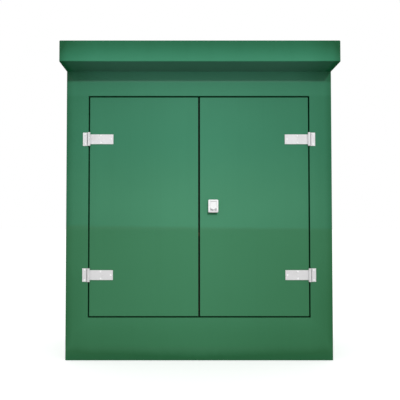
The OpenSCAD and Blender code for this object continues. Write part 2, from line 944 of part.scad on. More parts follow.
// Housings of both shoot bolts
module bolt_housings() {
    color(stainless) {
        bolt_housing();
        flip_about(opening_mid) bolt_housing();
    }
}

// Bracket on the left-hand door that the cam bears on
module strike_bracket() {
    reach = y_cam - 2 * touch_gap - y_liner;
    color(zinc) translate([-meeting_gap / 2 - strike_setback - strike_w, y_liner, lock_z - strike_h / 2])
        difference() {
            cube([strike_w, reach, strike_h]);
            translate([-over, -over, strike_t])
                cube([strike_w + 2 * over, reach - strike_t + over, strike_h - 2 * strike_t]);
        }
}

// Moves a shape that is drawn round the valve's middle to the valve
module at_valve() {
    translate([0, y_pipe, valve_z]) children();
}

// Puts a shape drawn at the origin on both checks
module at_checks() {
    for (side = [left, right]) translate([side * check_x, 0, 0]) children();
}

// Bolt places round a cover, drawn about the cover's axis
module round_pattern(count, radius) {
    for (i = [0:count - 1]) rotate([0, 0, 360 / count * (i + 0.5)]) translate([radius, 0, 0]) children();
}

// Cast body: barrel, two check chambers, relief boss and test cock bosses
module valve_body() {
    half = valve_l / 2;
    end_bore = half - end_bore_l;
    color(bronze) at_valve() difference() {
        union() {
            bar_x(barrel_r, union_end_l - half, half - union_end_l);
            bar_x(union_end_r, -half, half);
            at_checks() {
                bar_z(chamber_r + chamber_wall, chamber_foot - barrel_r, chamber_top);
                bar_z(cover_flange_r, chamber_top - cover_t, chamber_top);
            }
            bar_z(relief_boss_r, -relief_face, 0);
            bar_y(cock_boss_r, -cock_boss_reach, 0);
            translate([-check_x, 0, cock_low_z]) bar_y(cock_boss_r, -cock_boss_reach, 0);
            translate([check_x, 0, cock_high_z]) bar_y(cock_boss_r, -cock_boss_reach, 0);
        }
        at_checks() {
            bar_z(chamber_r, chamber_floor, chamber_top + over);
            bar_z(seat_r, -passage_z - passage_r / 2, chamber_floor + over);
            round_pattern(cover_bolts, cover_bolt_pcd)
                bar_z(cover_bolt_r + screw_clear, chamber_top - cover_bolt_grip, chamber_top + over);
        }
        for (side = [left, right]) on_side(side) bar_x(bore_r, end_bore, half + over);
        translate([0, 0, -passage_z]) bar_x(passage_r, -end_bore - passage_lap, -check_x);
        translate([0, 0, passage_z]) bar_x(passage_r, -check_x, 0);
        bar_z(relief_seat_r, -relief_face - over, passage_z + passage_r / 2);
        translate([0, 0, -passage_z]) bar_x(passage_r, 0, check_x);
        translate([0, 0, passage_z]) bar_x(passage_r, check_x, end_bore + passage_lap);
    }
}

// Covers of the two check chambers, each with a guide for the disc's stem
module check_covers() {
    color(bronze) at_valve() at_checks() difference() {
        union() {
            bar_z(chamber_r - touch_gap, chamber_top - cover_spigot, chamber_top + over);
            bar_z(cover_flange_r, chamber_top, chamber_top + cover_t);
            translate([0, 0, chamber_top + cover_t])
                cylinder(r1 = cover_cone_r, r2 = cover_cone_top_r, h = cover_boss_h / 2);
            bar_z(cover_boss_r, chamber_top, chamber_top + cover_boss_h);
        }
        bar_z(stem_r + run_gap, chamber_top - cover_spigot - over, guide_top);
        round_pattern(cover_bolts, cover_bolt_pcd)
            bar_z(cover_bolt_r + screw_clear, chamber_top - over, chamber_top + cover_t + over);
    }
}

// Hexagon bolt with its head on z0 and its shank below
module hex_bolt(z0, shank_r, grip, size) {
    translate([0, 0, z0]) cylinder(r = size, h = hex_h, $fn = 6);
    bar_z(shank_r, z0 - grip, z0 + over);
}

// Bolts of the check covers and of the relief cover
module valve_bolts() {
    cover_grip = cover_t + cover_bolt_grip - bolt_end_gap;
    relief_grip = relief_cover_t + relief_flange_t;
    color(zinc) at_valve() {
        at_checks() round_pattern(cover_bolts, cover_bolt_pcd)
            hex_bolt(chamber_top + cover_t, cover_bolt_r, cover_grip, hex_r);
        rotate([180, 0, 0]) round_pattern(relief_bolts, relief_bolt_pcd)
            hex_bolt(relief_low + relief_cover_t, relief_bolt_r, relief_grip, relief_hex_r);
    }
}

// Check disc with its guide stem
module check_poppet(side) {
    color(zinc) at_valve() translate([side * check_x, 0, 0]) {
        bar_z(disc_r, chamber_floor + touch_gap, chamber_floor + disc_t);
        bar_z(stem_r, chamber_floor + disc_t - over, stem_top);
    }
}

// Points along a spring's wire, one ring of points for each step
function coil_point(step, steps, radius, height) =
    [radius * cos(360 * spring_turns * step / steps), radius * sin(360 * spring_turns * step / steps),
        height * step / steps];

// Least gap between neighbouring turns, measured between points half a turn or more apart
function coil_gap(radius, height) = let (
    steps = 8 * spring_turns,
    places = [for (i = [0:steps]) coil_point(i, steps, radius, height)]
) min([for (i = [0:steps], j = [0:steps]) if (j - i >= 4) norm(places[i] - places[j])]) - 2 * spring_wire_r;

// Coil spring of round wire standing on the origin
module coil_spring(radius, height) {
    rings = 8 * spring_turns;
    sides = 6;
    points = [
        for (i = [0:rings], k = [0:sides - 1]) let (
            turn = 360 * spring_turns * i / rings,
            ring = radius + spring_wire_r * cos(360 * k / sides)
        ) [ring * cos(turn), ring * sin(turn), height * i / rings + spring_wire_r * sin(360 * k / sides)]
    ];
    walls = [
        for (i = [0:rings - 1], k = [0:sides - 1], half = [0, 1]) let (
            a = i * sides + k,
            b = i * sides + (k + 1) % sides
        ) half == 0 ? [a, a + sides, b] : [b, a + sides, b + sides]
    ];
    start = [for (k = [1:sides - 2]) [0, k, k + 1]];
    finish = [for (k = [1:sides - 2]) [rings * sides, rings * sides + k + 1, rings * sides + k]];
    polyhedron(points, concat(walls, start, finish));
}

check_spring_h = chamber_top - cover_spigot - chamber_floor - disc_t - 2 * (spring_wire_r + spring_clear);
relief_spring_h = piston_z - relief_web_z - relief_web_t - 2 * (spring_wire_r + spring_clear);
echo(check_spring_gap = coil_gap(spring_r, check_spring_h));
echo(relief_spring_gap = coil_gap(spring_r, relief_spring_h));

// Spring that closes a check disc
module check_spring(side) {
    color(stainless) at_valve()
        translate([side * check_x, 0, chamber_floor + disc_t + spring_wire_r + spring_clear])
            coil_spring(spring_r, check_spring_h);
}

// Relief valve housing below the body, open through four discharge ports
module relief_body() {
    color(bronze) at_valve() difference() {
        union() {
            bar_z(relief_flange_r, -relief_face - relief_flange_t, -relief_face);
            bar_z(relief_r, -relief_low, -relief_face);
            bar_z(relief_cover_r, -relief_low, relief_flange_t - relief_low);
        }
        bar_z(relief_seat_r, -relief_seat_z - over, over - relief_face);
        bar_z(relief_bore_r, -relief_web_z, -relief_seat_z);
        bar_z(relief_bore_r, -relief_low - over, -relief_web_z - relief_web_t);
        bar_z(relief_stem_r + run_gap, -relief_low, -relief_web_z + over);
        for (a = [45:90:315]) rotate([0, 0, a]) translate([web_hole_pcd, 0, 0])
            bar_z(web_hole_r, -relief_web_z - relief_web_t - over, over - relief_web_z);
        for (a = [0, 90]) rotate([0, 0, a])
            translate([-relief_r - over, -relief_port_w / 2, -relief_port_z - relief_port_h / 2])
                cube([2 * (relief_r + over), relief_port_w, relief_port_h]);
        round_pattern(relief_bolts, relief_bolt_pcd)
            bar_z(relief_bolt_r + screw_clear, -relief_low - over, relief_flange_t + over - relief_low);
    }
}

// Cup below the relief valve where the supply pressure acts
module relief_cover() {
    color(bronze) at_valve() difference() {
        union() {
            bar_z(relief_cover_r, -relief_low - relief_cover_t, -relief_low);
            bar_z(relief_r, -relief_low - relief_cup_h, -relief_low);
        }
        bar_z(relief_bore_r, -relief_low - relief_cup_h + relief_cup_floor, over - relief_low);
        rotate([180, 0, 0]) round_pattern(relief_bolts, relief_bolt_pcd)
            bar_z(relief_bolt_r + screw_clear, relief_low - over, relief_low + relief_cover_t + over);
        translate([0, 0, -sense_drop]) bar_x(sense_r + run_gap, -relief_r - over, 0);
    }
}

// Relief disc, stem and piston in one piece, drawn open as they stand without water pressure
module relief_piston() {
    seat = relief_seat_z + relief_travel + touch_gap;
    color(zinc) at_valve() {
        bar_z(relief_disc_r, -seat - relief_disc_t, -seat);
        bar_z(relief_stem_r, -piston_z - over, -seat - over);
        bar_z(relief_bore_r - touch_gap, -piston_z - piston_t, -piston_z);
    }
}

// Spring that opens the relief valve
module relief_spring() {
    color(stainless) at_valve() translate([0, 0, -piston_z + spring_wire_r + spring_clear])
        coil_spring(spring_r, relief_spring_h);
}

// Sensing tube from the inlet side of the body to the relief cover
module sensing_line() {
    low = -sense_drop;
    color(copper) at_valve() {
        translate([-sense_x, 0, 0]) bar_z(sense_r, low + sense_bend, -barrel_r);
        translate([sense_bend - sense_x, 0, low + sense_bend]) rotate([90, 0, 0])
            rotate_extrude(angle = 90, start = 180) translate([sense_bend, 0]) circle(sense_r);
        translate([0, 0, low]) bar_x(sense_r, sense_bend - sense_x, sense_insert - relief_r);
        translate([-sense_x, 0, -barrel_r - sense_nut_l]) cylinder(r = sense_nut_r, h = sense_nut_l, $fn = 6);
        translate([-relief_r - sense_nut_l, 0, low]) rotate([0, 90, 0])
            cylinder(r = sense_nut_r, h = sense_nut_l, $fn = 6);
    }
}

// Small test cock standing on the origin along +Z
module test_cock() {
    top = cock_neck_h + cock_hex_h;
    cylinder(r = cock_neck_r, h = cock_neck_h);
    translate([0, 0, cock_neck_h]) cylinder(r = cock_hex_r, h = cock_hex_h, $fn = 6);
    translate([0, 0, top]) cylinder(r = cock_nose_r, h = cock_nose_h);
    translate([0, 0, cock_neck_h + cock_hex_h / 2]) bar_x(cock_screw_r, 0, cock_hex_r + cock_screw_l);
}

// The four test cocks: one before the first check, two on the checks and one between them
module test_cocks() {
    color(bronze) at_valve() {
        translate([-tail_cock_x, 0, tail_r + tail_boss_h]) test_cock();
        translate([-check_x, -cock_boss_reach, cock_low_z]) rotate([90, 0, 0]) test_cock();
        translate([0, -cock_boss_reach, 0]) rotate([90, 0, 0]) test_cock();
        translate([check_x, -cock_boss_reach, cock_high_z]) rotate([90, 0, 0]) test_cock();
    }
}

// Nuts that join the body to the shut-off valves
module union_nuts() {
    half = valve_l / 2;
    color(bronze) at_valve() for (side = [left, right]) on_side(side) difference() {
        translate([half - nut_lap, 0, 0]) rotate([0, 90, 0]) cylinder(r = nut_r, h = nut_l, $fn = 6);
        bar_x(union_end_r + run_gap, half - nut_lap - over, half);
        bar_x(tail_r + run_gap, half - over, half + nut_l);
    }
}

// Ball valve body, drawn for the right-hand side about the ball's middle
module shutoff_valve(side) {
    tail = shutoff_x - valve_l / 2;
    color(bronze) at_valve() on_side(side) translate([shutoff_x, 0, 0]) difference() {
        union() {
            bar_x(tail_r, -tail, 0);
            sphere(shutoff_sphere_r);
            bar_x(pipe_r + socket_wall, 0, shutoff_socket);
            translate([shutoff_socket - shutoff_hex_l, 0, 0]) rotate([0, 90, 0])
                cylinder(r = shutoff_hex_r, h = shutoff_hex_l, $fn = 6);
            bar_z(tower_r, 0, tower_h);
            translate([0, 0, tower_h]) cylinder(r = gland_r, h = gland_h, $fn = 6);
            if (side == left) translate([tail_cock_x - shutoff_x, 0, 0])
                bar_z(tail_boss_r, 0, tail_r + tail_boss_h);
        }
        bar_x(bore_r, -tail - over, shutoff_socket);
        bar_x(pipe_r + run_gap, shutoff_socket - socket_depth, shutoff_socket + over);
        sphere(ball_r + touch_gap);
        bar_z(valve_stem_r + run_gap, 0, tower_h + gland_h + over);
    }
}

// Ball and stem of a shut-off valve
module shutoff_ball(side) {
    color(stainless) at_valve() translate([side * shutoff_x, 0, 0]) {
        difference() {
            union() {
                sphere(ball_r);
                bar_z(valve_stem_r, 0, valve_stem_h);
            }
            bar_x(bore_r, -ball_r - over, ball_r + over);
        }
        translate([-lever_square / 2, -lever_square / 2, valve_stem_h - over])
            cube([lever_square, lever_square, lever_t + stem_proud + over]);
    }
}

// Lever of a shut-off valve, drawn open, along the pipe and away from the valve body
module shutoff_lever(side) {
    low = valve_stem_h;
    high = valve_stem_h + lever_rise;
    hole = lever_square + 4 * run_gap;
    color(stainless) at_valve() on_side(side) translate([shutoff_x, 0, 0]) difference() {
        extrude_y(-lever_w / 2, lever_w / 2)
            polygon([[-lever_heel, low], [lever_flat, low], [lever_flat + lever_ramp, high], [lever_l, high],
                [lever_l, high + lever_t], [lever_flat + lever_ramp - lever_t / 4, high + lever_t],
                [lever_flat - lever_t / 4, low + lever_t], [-lever_heel, low + lever_t]]);
        translate([-hole / 2, -hole / 2, low - over]) cube([hole, hole, lever_t + 2 * over]);
    }
}

// Riser from the threaded end below, round its bend and into a shut-off valve
module riser(side) {
    straight = valve_z - bend_r;
    color(copper) on_side(side) translate([riser_x, y_pipe, 0]) difference() {
        union() {
            bar_z(end_d / 2, end_z, end_z + end_l);
            bar_z(pipe_r, end_z, straight);
            translate([-bend_r, 0, straight]) rotate([90, 0, 0])
                rotate_extrude(angle = 90) translate([bend_r, 0]) circle(pipe_r);
            translate([0, 0, valve_z]) bar_x(pipe_r, -bend_r - socket_depth, -bend_r);
        }
        bar_z(bore_r, end_z - over, straight);
        translate([-bend_r, 0, straight]) rotate([90, 0, 0])
            rotate_extrude(angle = 90) translate([bend_r, 0]) circle(bore_r);
        translate([0, 0, valve_z]) bar_x(bore_r, -bend_r - socket_depth - over, -bend_r);
    }
}

// Puts a shape on every clamp's middle
module at_clamps() {
    for (side = [left, right], z = [clamp_foot_z, valve_z - bend_r - clamp_drop])
        translate([side * riser_x, y_pipe, z]) children();
}

// Puts a shape on the two ears of a clamp
module at_clamp_ears() {
    for (end = [-1, 1]) translate([end * (pipe_r + clamp_wall + clamp_ear_w / 2), 0, 0]) children();
}

// Ring with bolting ears round the pipe, cut through between the ears
module clamp_ring() {
    ring_r = pipe_r + clamp_wall;
    reach = ring_r + clamp_ear_w;
    difference() {
        union() {
            bar_z(ring_r, -clamp_h / 2, clamp_h / 2);
            translate([-reach, -clamp_ear_t / 2, -clamp_h / 2]) cube([2 * reach, clamp_ear_t, clamp_h]);
        }
        bar_z(pipe_r + run_gap, -clamp_h / 2 - over, clamp_h / 2 + over);
        translate([-reach - over, -clamp_split / 2, -clamp_h / 2 - over])
            cube([2 * (reach + over), clamp_split, clamp_h + 2 * over]);
        at_clamp_ears() bar_y(clamp_bolt_r + screw_clear, -clamp_ear_t, clamp_ear_t);
    }
}

// Space in front of a clamp's split
module clamp_front_side() {
    reach = pipe_r + clamp_wall + clamp_ear_w + over;
    translate([-reach, -reach, -clamp_h]) cube([2 * reach, reach, 2 * clamp_h]);
}

// Rear halves of the clamps, each on a stem with a foot on the back board
module pipe_clamps() {
    color(zinc) at_clamps() {
        difference() {
            clamp_ring();
            clamp_front_side();
        }
        bar_y(clamp_stem_r, pipe_r + clamp_wall / 2, pipe_standoff);
        bar_y(clamp_foot_r, pipe_standoff - clamp_foot_t, pipe_standoff);
    }
}

// Front halves of the clamps
module clamp_fronts() {
    color(zinc) at_clamps() intersection() {
        clamp_ring();
        clamp_front_side();
    }
}

// Bolts with their nuts that draw the clamps' halves together
module clamp_bolts() {
    color(stainless) at_clamps() at_clamp_ears() rotate([90, 0, 0]) {
        hex_bolt(clamp_ear_t / 2, clamp_bolt_r, clamp_ear_t + clamp_nut_h + over, clamp_hex_r);
        translate([0, 0, -clamp_ear_t / 2 - clamp_nut_h]) cylinder(r = clamp_hex_r, h = clamp_nut_h, $fn = 6);
    }
}

body_shell();
front_frame();
roof_cap();
roof_liner();
back_board();
door_seal();
door_skin(left);  // left_door_skin
door_liner(left);  // left_door_liner
meeting_seal(left);  // left_meeting_seal
door_skin(right);  // right_door_skin
door_liner(right);  // right_door_liner
meeting_seal(right);  // right_meeting_seal
frame_leaves(left);  // left_frame_leaves
frame_leaves(right);  // right_frame_leaves
hinge_strap(left, hinge_z_high);  // left_upper_strap
hinge_strap(left, hinge_z_low);  // left_lower_strap
hinge_strap(right, hinge_z_high);  // right_upper_strap
hinge_strap(right, hinge_z_low);  // right_lower_strap
hinge_pins();
frame_hinge_screws();
strap_screw_set(left);  // left_strap_screws
strap_screw_set(right);  // right_strap_screws
lock_housing();
lock_flap();
flap_pin();
lock_spindle();
lock_cam();
lock_case();
upper_lock_rod();
lower_lock_rod();
rod_guides();
upper_shoot_bolt();
lower_shoot_bolt();
bolt_housings();
strike_bracket();
valve_body();
check_covers();
valve_bolts();
check_poppet(left);  // first_check_poppet
check_poppet(right);  // second_check_poppet
check_spring(left);  // first_check_spring
check_spring(right);  // second_check_spring
relief_body();
relief_cover();
relief_piston();
relief_spring();
sensing_line();
test_cocks();
union_nuts();
shutoff_valve(left);  // inlet_valve
shutoff_ball(left);  // inlet_ball
shutoff_lever(left);  // inlet_lever
shutoff_valve(right);  // outlet_valve
shutoff_ball(right);  // outlet_ball
shutoff_lever(right);  // outlet_lever
riser(left);  // inlet_riser
riser(right);  // outlet_riser
pipe_clamps();
clamp_fronts();
clamp_bolts();
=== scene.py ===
"""Looks of a moulded, lockable kiosk that holds a backflow preventer on two risers."""

import json
import logging
import math
from dataclasses import dataclass, field
from enum import Enum
from typing import Any, Dict, List, Optional, Sequence, Tuple, Union

import bmesh
import bpy
from mathutils import Euler, Matrix, Vector


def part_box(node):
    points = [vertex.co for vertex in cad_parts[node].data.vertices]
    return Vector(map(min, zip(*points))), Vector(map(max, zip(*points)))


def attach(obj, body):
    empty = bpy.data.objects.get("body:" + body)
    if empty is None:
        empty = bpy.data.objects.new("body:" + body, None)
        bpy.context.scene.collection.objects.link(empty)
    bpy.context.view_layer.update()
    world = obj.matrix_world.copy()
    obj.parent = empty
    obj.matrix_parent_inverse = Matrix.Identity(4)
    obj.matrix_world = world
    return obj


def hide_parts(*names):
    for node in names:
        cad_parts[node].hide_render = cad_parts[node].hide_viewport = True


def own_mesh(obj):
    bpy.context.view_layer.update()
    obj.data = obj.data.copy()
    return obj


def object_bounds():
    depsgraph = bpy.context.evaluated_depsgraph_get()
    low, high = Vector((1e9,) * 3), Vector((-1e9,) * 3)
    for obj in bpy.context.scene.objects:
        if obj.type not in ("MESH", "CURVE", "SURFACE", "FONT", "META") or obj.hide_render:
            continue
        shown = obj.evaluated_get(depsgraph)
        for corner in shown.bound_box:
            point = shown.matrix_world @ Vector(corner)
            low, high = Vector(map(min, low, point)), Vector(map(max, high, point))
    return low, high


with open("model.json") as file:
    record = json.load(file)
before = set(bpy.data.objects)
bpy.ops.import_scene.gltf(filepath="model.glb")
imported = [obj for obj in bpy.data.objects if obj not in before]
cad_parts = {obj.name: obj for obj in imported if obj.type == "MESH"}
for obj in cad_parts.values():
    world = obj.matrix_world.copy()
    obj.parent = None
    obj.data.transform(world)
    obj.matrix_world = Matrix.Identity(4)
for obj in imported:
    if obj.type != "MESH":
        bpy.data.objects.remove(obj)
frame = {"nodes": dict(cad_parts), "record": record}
CAD_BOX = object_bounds()

LOG = logging.getLogger("kiosk")
MM = 0.001
SIDES = (-1.0, 1.0)
ROUND, HEXAGON = 0, 6

Colour = Tuple[float, float, float]
Point = Tuple[float, float, float]
Span = Tuple[float, float]
Profile = Sequence[Tuple[float, float, int]]
Value = Union["Wire", float]


def rgba(colour: Colour) -> Tuple[float, float, float, float]:
    """Returns a linear colour with full alpha."""
    return (colour[0], colour[1], colour[2], 1.0)


@dataclass(frozen=True)
class Box:
    """The box of one solid's node, in millimetres."""

    low: Vector
    high: Vector

    @classmethod
    def of(cls, node: str) -> "Box":
        """Measures a node.

        Args:
            node: The node's name.

        Returns:
            Its box.
        """
        low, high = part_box(node)
        return cls(low / MM, high / MM)

    @property
    def middle(self) -> Vector:
        """Returns the box's centre."""
        return (self.low + self.high) / 2.0

    @property
    def half(self) -> Vector:
        """Returns half the box's size."""
        return (self.high - self.low) / 2.0


class Wire:
    """One output socket of a node tree. Arithmetic on it adds Math nodes."""

    def __init__(self, sheet: "NodeSheet", socket: bpy.types.NodeSocket) -> None:
        """Keeps the sheet and the socket.

        Args:
            sheet: The node sheet that the socket belongs to.
            socket: The output socket.
        """
        self.sheet = sheet
        self.socket = socket

    def __add__(self, other: Value) -> "Wire":
        """Returns self + other."""
        return self.sheet.math("ADD", self, other)

    def __radd__(self, other: Value) -> "Wire":
        """Returns other + self."""
        return self.sheet.math("ADD", other, self)

    def __sub__(self, other: Value) -> "Wire":
        """Returns self - other."""
        return self.sheet.math("SUBTRACT", self, other)

    def __rsub__(self, other: Value) -> "Wire":
        """Returns other - self."""
        return self.sheet.math("SUBTRACT", other, self)

    def __mul__(self, other: Value) -> "Wire":
        """Returns self * other."""
        return self.sheet.math("MULTIPLY", self, other)

    def __rmul__(self, other: Value) -> "Wire":
        """Returns other * self."""
        return self.sheet.math("MULTIPLY", other, self)

    def __abs__(self) -> "Wire":
        """Returns the absolute value."""
        return self.sheet.math("ABSOLUTE", self, 0.0)

    def larger(self, other: Value) -> "Wire":
        """Returns the larger of self and other."""
        return self.sheet.math("MAXIMUM", self, other)

    def smaller(self, other: Value) -> "Wire":
        """Returns the smaller of self and other."""
        return self.sheet.math("MINIMUM", self, other)

    def rise(self, low: float, high: float) -> "Wire":
        """Fades smoothly from 0 at low to 1 at high.

        Args:
            low: Value at which the fade begins.
            high: Value at which the fade is complete.

        Returns:
            The faded value, between 0 and 1.
        """
        return self.sheet.add(
            "ShaderNodeMapRange",
            {"interpolation_type": "SMOOTHSTEP"},
            {"Value": self, "From Min": low, "From Max": high},
        )


class NodeSheet:
    """The node tree of one material or of the world, with one method that adds any node."""

    def __init__(self, tree: bpy.types.NodeTree) -> None:
        """Empties the tree.

        Args:
            tree: The node tree to fill.
        """
        self.tree = tree
        self.tree.nodes.clear()

    @staticmethod
    def _find(sockets: Any, key: Union[str, int]) -> bpy.types.NodeSocket:
        """Finds a socket by place, identifier or name.

        Args:
            sockets: A node's inputs or outputs.
            key: The place, identifier or name.

        Returns:
            The socket.
        """
        if isinstance(key, int):
            return sockets[key]
        for socket in sockets:
            if socket.identifier == key:
                return socket
        return sockets[key]

    def add(
        self,
        kind: str,
        settings: Optional[Dict[str, Any]] = None,
        sockets: Optional[Dict[Union[str, int], Any]] = None,
        out: Union[str, int] = 0,
    ) -> Wire:
        """Adds a node, sets it up and links it.

        Args:
            kind: The node's type.
            settings: Properties of the node.
            sockets: Values or wires of its input sockets.
            out: The output that is returned.

        Returns:
            The wire of that output.
        """
        node = self.tree.nodes.new(kind)
        for key, value in (settings or {}).items():
            setattr(node, key, value)
        for key, value in (sockets or {}).items():
            socket = self._find(node.inputs, key)
            if isinstance(value, Wire):
                self.tree.links.new(value.socket, socket)
            else:
                socket.default_value = value
        return Wire(self, self._find(node.outputs, out) if len(node.outputs) else None)

    def math(self, operation: str, first: Value, second: Value) -> Wire:
        """Adds a Math node.

        Args:
            operation: The node's operation.
            first: First value or wire.
            second: Second value or wire.

        Returns:
            The result.
        """
        return self.add("ShaderNodeMath", {"operation": operation}, {0: first, 1: second})

    def place(self) -> Wire:
        """Returns the point in the part's own frame, in metres."""
        return self.add("ShaderNodeTexCoord", out="Object")

    def facing(self) -> Wire:
        """Returns the surface's direction in the part's own frame."""
        return self.add("ShaderNodeTexCoord", out="Normal")

    def parts(self, vector: Wire) -> Tuple[Wire, Wire, Wire]:
        """Splits a vector.

        Args:
            vector: The vector's wire.

        Returns:
            Its x, y and z.
        """
        first = self.add("ShaderNodeSeparateXYZ", sockets={0: vector})
        outputs = first.socket.node.outputs
        return first, Wire(self, outputs[1]), Wire(self, outputs[2])

    def stretch(self, vector: Wire, factors: Point) -> Wire:
        """Scales a vector axis by axis.

        Args:
            vector: The vector's wire.
            factors: The factor along each axis.

        Returns:
            The scaled vector.
        """
        return self.add("ShaderNodeVectorMath", {"operation": "MULTIPLY"}, {0: vector, 1: factors})

    def shift(self, vector: Wire, amount: Wire) -> Wire:
        """Moves a vector by the same amount along every axis.

        Args:
            vector: The vector's wire.
            amount: How far it moves.

        Returns:
            The moved vector.
        """
        return self.add("ShaderNodeVectorMath", {"operation": "ADD"}, {0: vector, 1: amount})

    def noise(self, vector: Wire, scale: float, detail: float, rough: float) -> Wire:
        """Adds a noise texture.

        Args:
            vector: Where it is read.
            scale: Features to the metre.
            detail: Octaves.
            rough: Weight of the finer octaves.

        Returns:
            The noise, about 0.5 on average.
        """
        return self.add(
            "ShaderNodeTexNoise",
            sockets={"Vector": vector, "Scale": scale, "Detail": detail, "Roughness": rough},
        )

    def blend(self, share: Value, first: Union[Wire, Colour], second: Union[Wire, Colour]) -> Wire:
        """Mixes two colours.

        Args:
            share: How much of the second colour.
            first: First colour or wire.
            second: Second colour or wire.

        Returns:
            The mixed colour.
        """
        return self.add(
            "ShaderNodeMix",
            {"data_type": "RGBA", "blend_type": "MIX"},
            {
                "Factor_Float": share,
                "A_Color": first if isinstance(first, Wire) else rgba(first),
                "B_Color": second if isinstance(second, Wire) else rgba(second),
            },
            "Result_Color",
        )

    def relief(self, height: Wire, depth: float, strength: float) -> Wire:
        """Adds a bump.

        Args:
            height: The height map.
            depth: Its full depth in metres.
            strength: How strongly it shows.

        Returns:
            The normal.
        """
        return self.add(
            "ShaderNodeBump", sockets={"Height": height, "Distance": depth, "Strength": strength}
        )

    def background_rays(self) -> Wire:
        """Tells the rays that see the surround from those that carry light.

        Returns:
            1 for camera, glossy and transmission rays and 0 for the rest.
        """
        path = self.add("ShaderNodeLightPath", out="Is Camera Ray")
        outputs = path.socket.node.outputs
        glossy = Wire(self, outputs["Is Glossy Ray"])
        return path.larger(glossy).larger(Wire(self, outputs["Is Transmission Ray"]))

    def surface(self, shader: Wire) -> None:
        """Connects a shader to the material's output."""
        self.add("ShaderNodeOutputMaterial", sockets={"Surface": shader})

    def principled(self, sockets: Dict[str, Any]) -> None:
        """Adds the main shader, with these values or wires of its sockets, and connects it."""
        self.surface(self.add("ShaderNodeBsdfPrincipled", sockets=sockets))


@dataclass(frozen=True)
class Grain:
    """A noise over a surface: features to the metre, octaves, their weight, and a fade."""

    scale: Union[float, Point]
    detail: float = 3.0
    rough: float = 0.5
    fade: Optional[Span] = None

    def read(self, sheet: NodeSheet, place: Wire) -> Wire:
        """Adds the noise.

        Args:
            sheet: The node sheet.
            place: Where it is read.

        Returns:
            The noise, faded from 0 to 1 where a fade is given.
        """
        if isinstance(self.scale, tuple):
            noise = sheet.noise(sheet.stretch(place, self.scale), 1.0, self.detail, self.rough)
        else:
            noise = sheet.noise(place, self.scale, self.detail, self.rough)
        return noise.rise(*self.fade) if self.fade else noise


@dataclass(frozen=True)
class Coat:
    """A finish: a named material that is made once, when a piece first asks for it."""

    name: str

    def paint(self, sheet: NodeSheet) -> None:
        """Fills the node sheet; each finish has its own."""
        raise NotImplementedError

    def material(self) -> bpy.types.Material:
        """Finds the finish's material, or makes it on first use.

        Returns:
            The material.
        """
        made = bpy.data.materials.get(self.name)
        if made is None:
            made = bpy.data.materials.new(self.name)
            made.use_nodes = True
            self.paint(NodeSheet(made.node_tree))
        return made


@dataclass(frozen=True)
class ShadeAndDirt:
    """Where painted shade, painted light and rain streaks fall on a face, each from 0 to 1."""

    grime_and_shade: Wire
    floor_shade: Wire
    splash: Wire
    canopy_shade: Wire
    roof_shadow_band: Wire
    fascia: Wire


@dataclass(frozen=True)
class ShadeAndSoiling:
    """How strongly each painted shade, and the rain streaks, darken the gel coat, from 0 to 1."""

    floor_shade: float = 0.88
    foot: float = 0.25
    wall: float = 0.22
    wall_offset: float = 0.06
    wall_edge: float = 0.23
    wall_corner: float = 0.34
    lower_shade: float = 0.05
    splash: float = 0.14
    horizon_thinned: float = 0.08
    horizon_beside: float = 0.08
    canopy_shade: float = 0.10
    canopy_shade_cut: float = 0.12
    roof_shadow_band: float = 0.3
    streak: float = 0.03
    fascia: float = 0.06
    crest: float = 0.66
    fascia_edge: float = 0.32
    fascia_corner: float = 0.40
    soffit: float = 0.16
    soffit_edge: float = 0.55
    soffit_corner: float = 0.75
    gaps: float = 0.8
    lock_shadow: float = 0.7


@dataclass(frozen=True)
class Fringe:
    """How far each painted shade frays at its edge, as a share of the ragged reach."""

    floor_shade: float = 0.3
    foot: float = 0.5
    splash: float = 0.2
    edge: float = 0.6
    corner: float = 0.2
    crest: float = 0.3


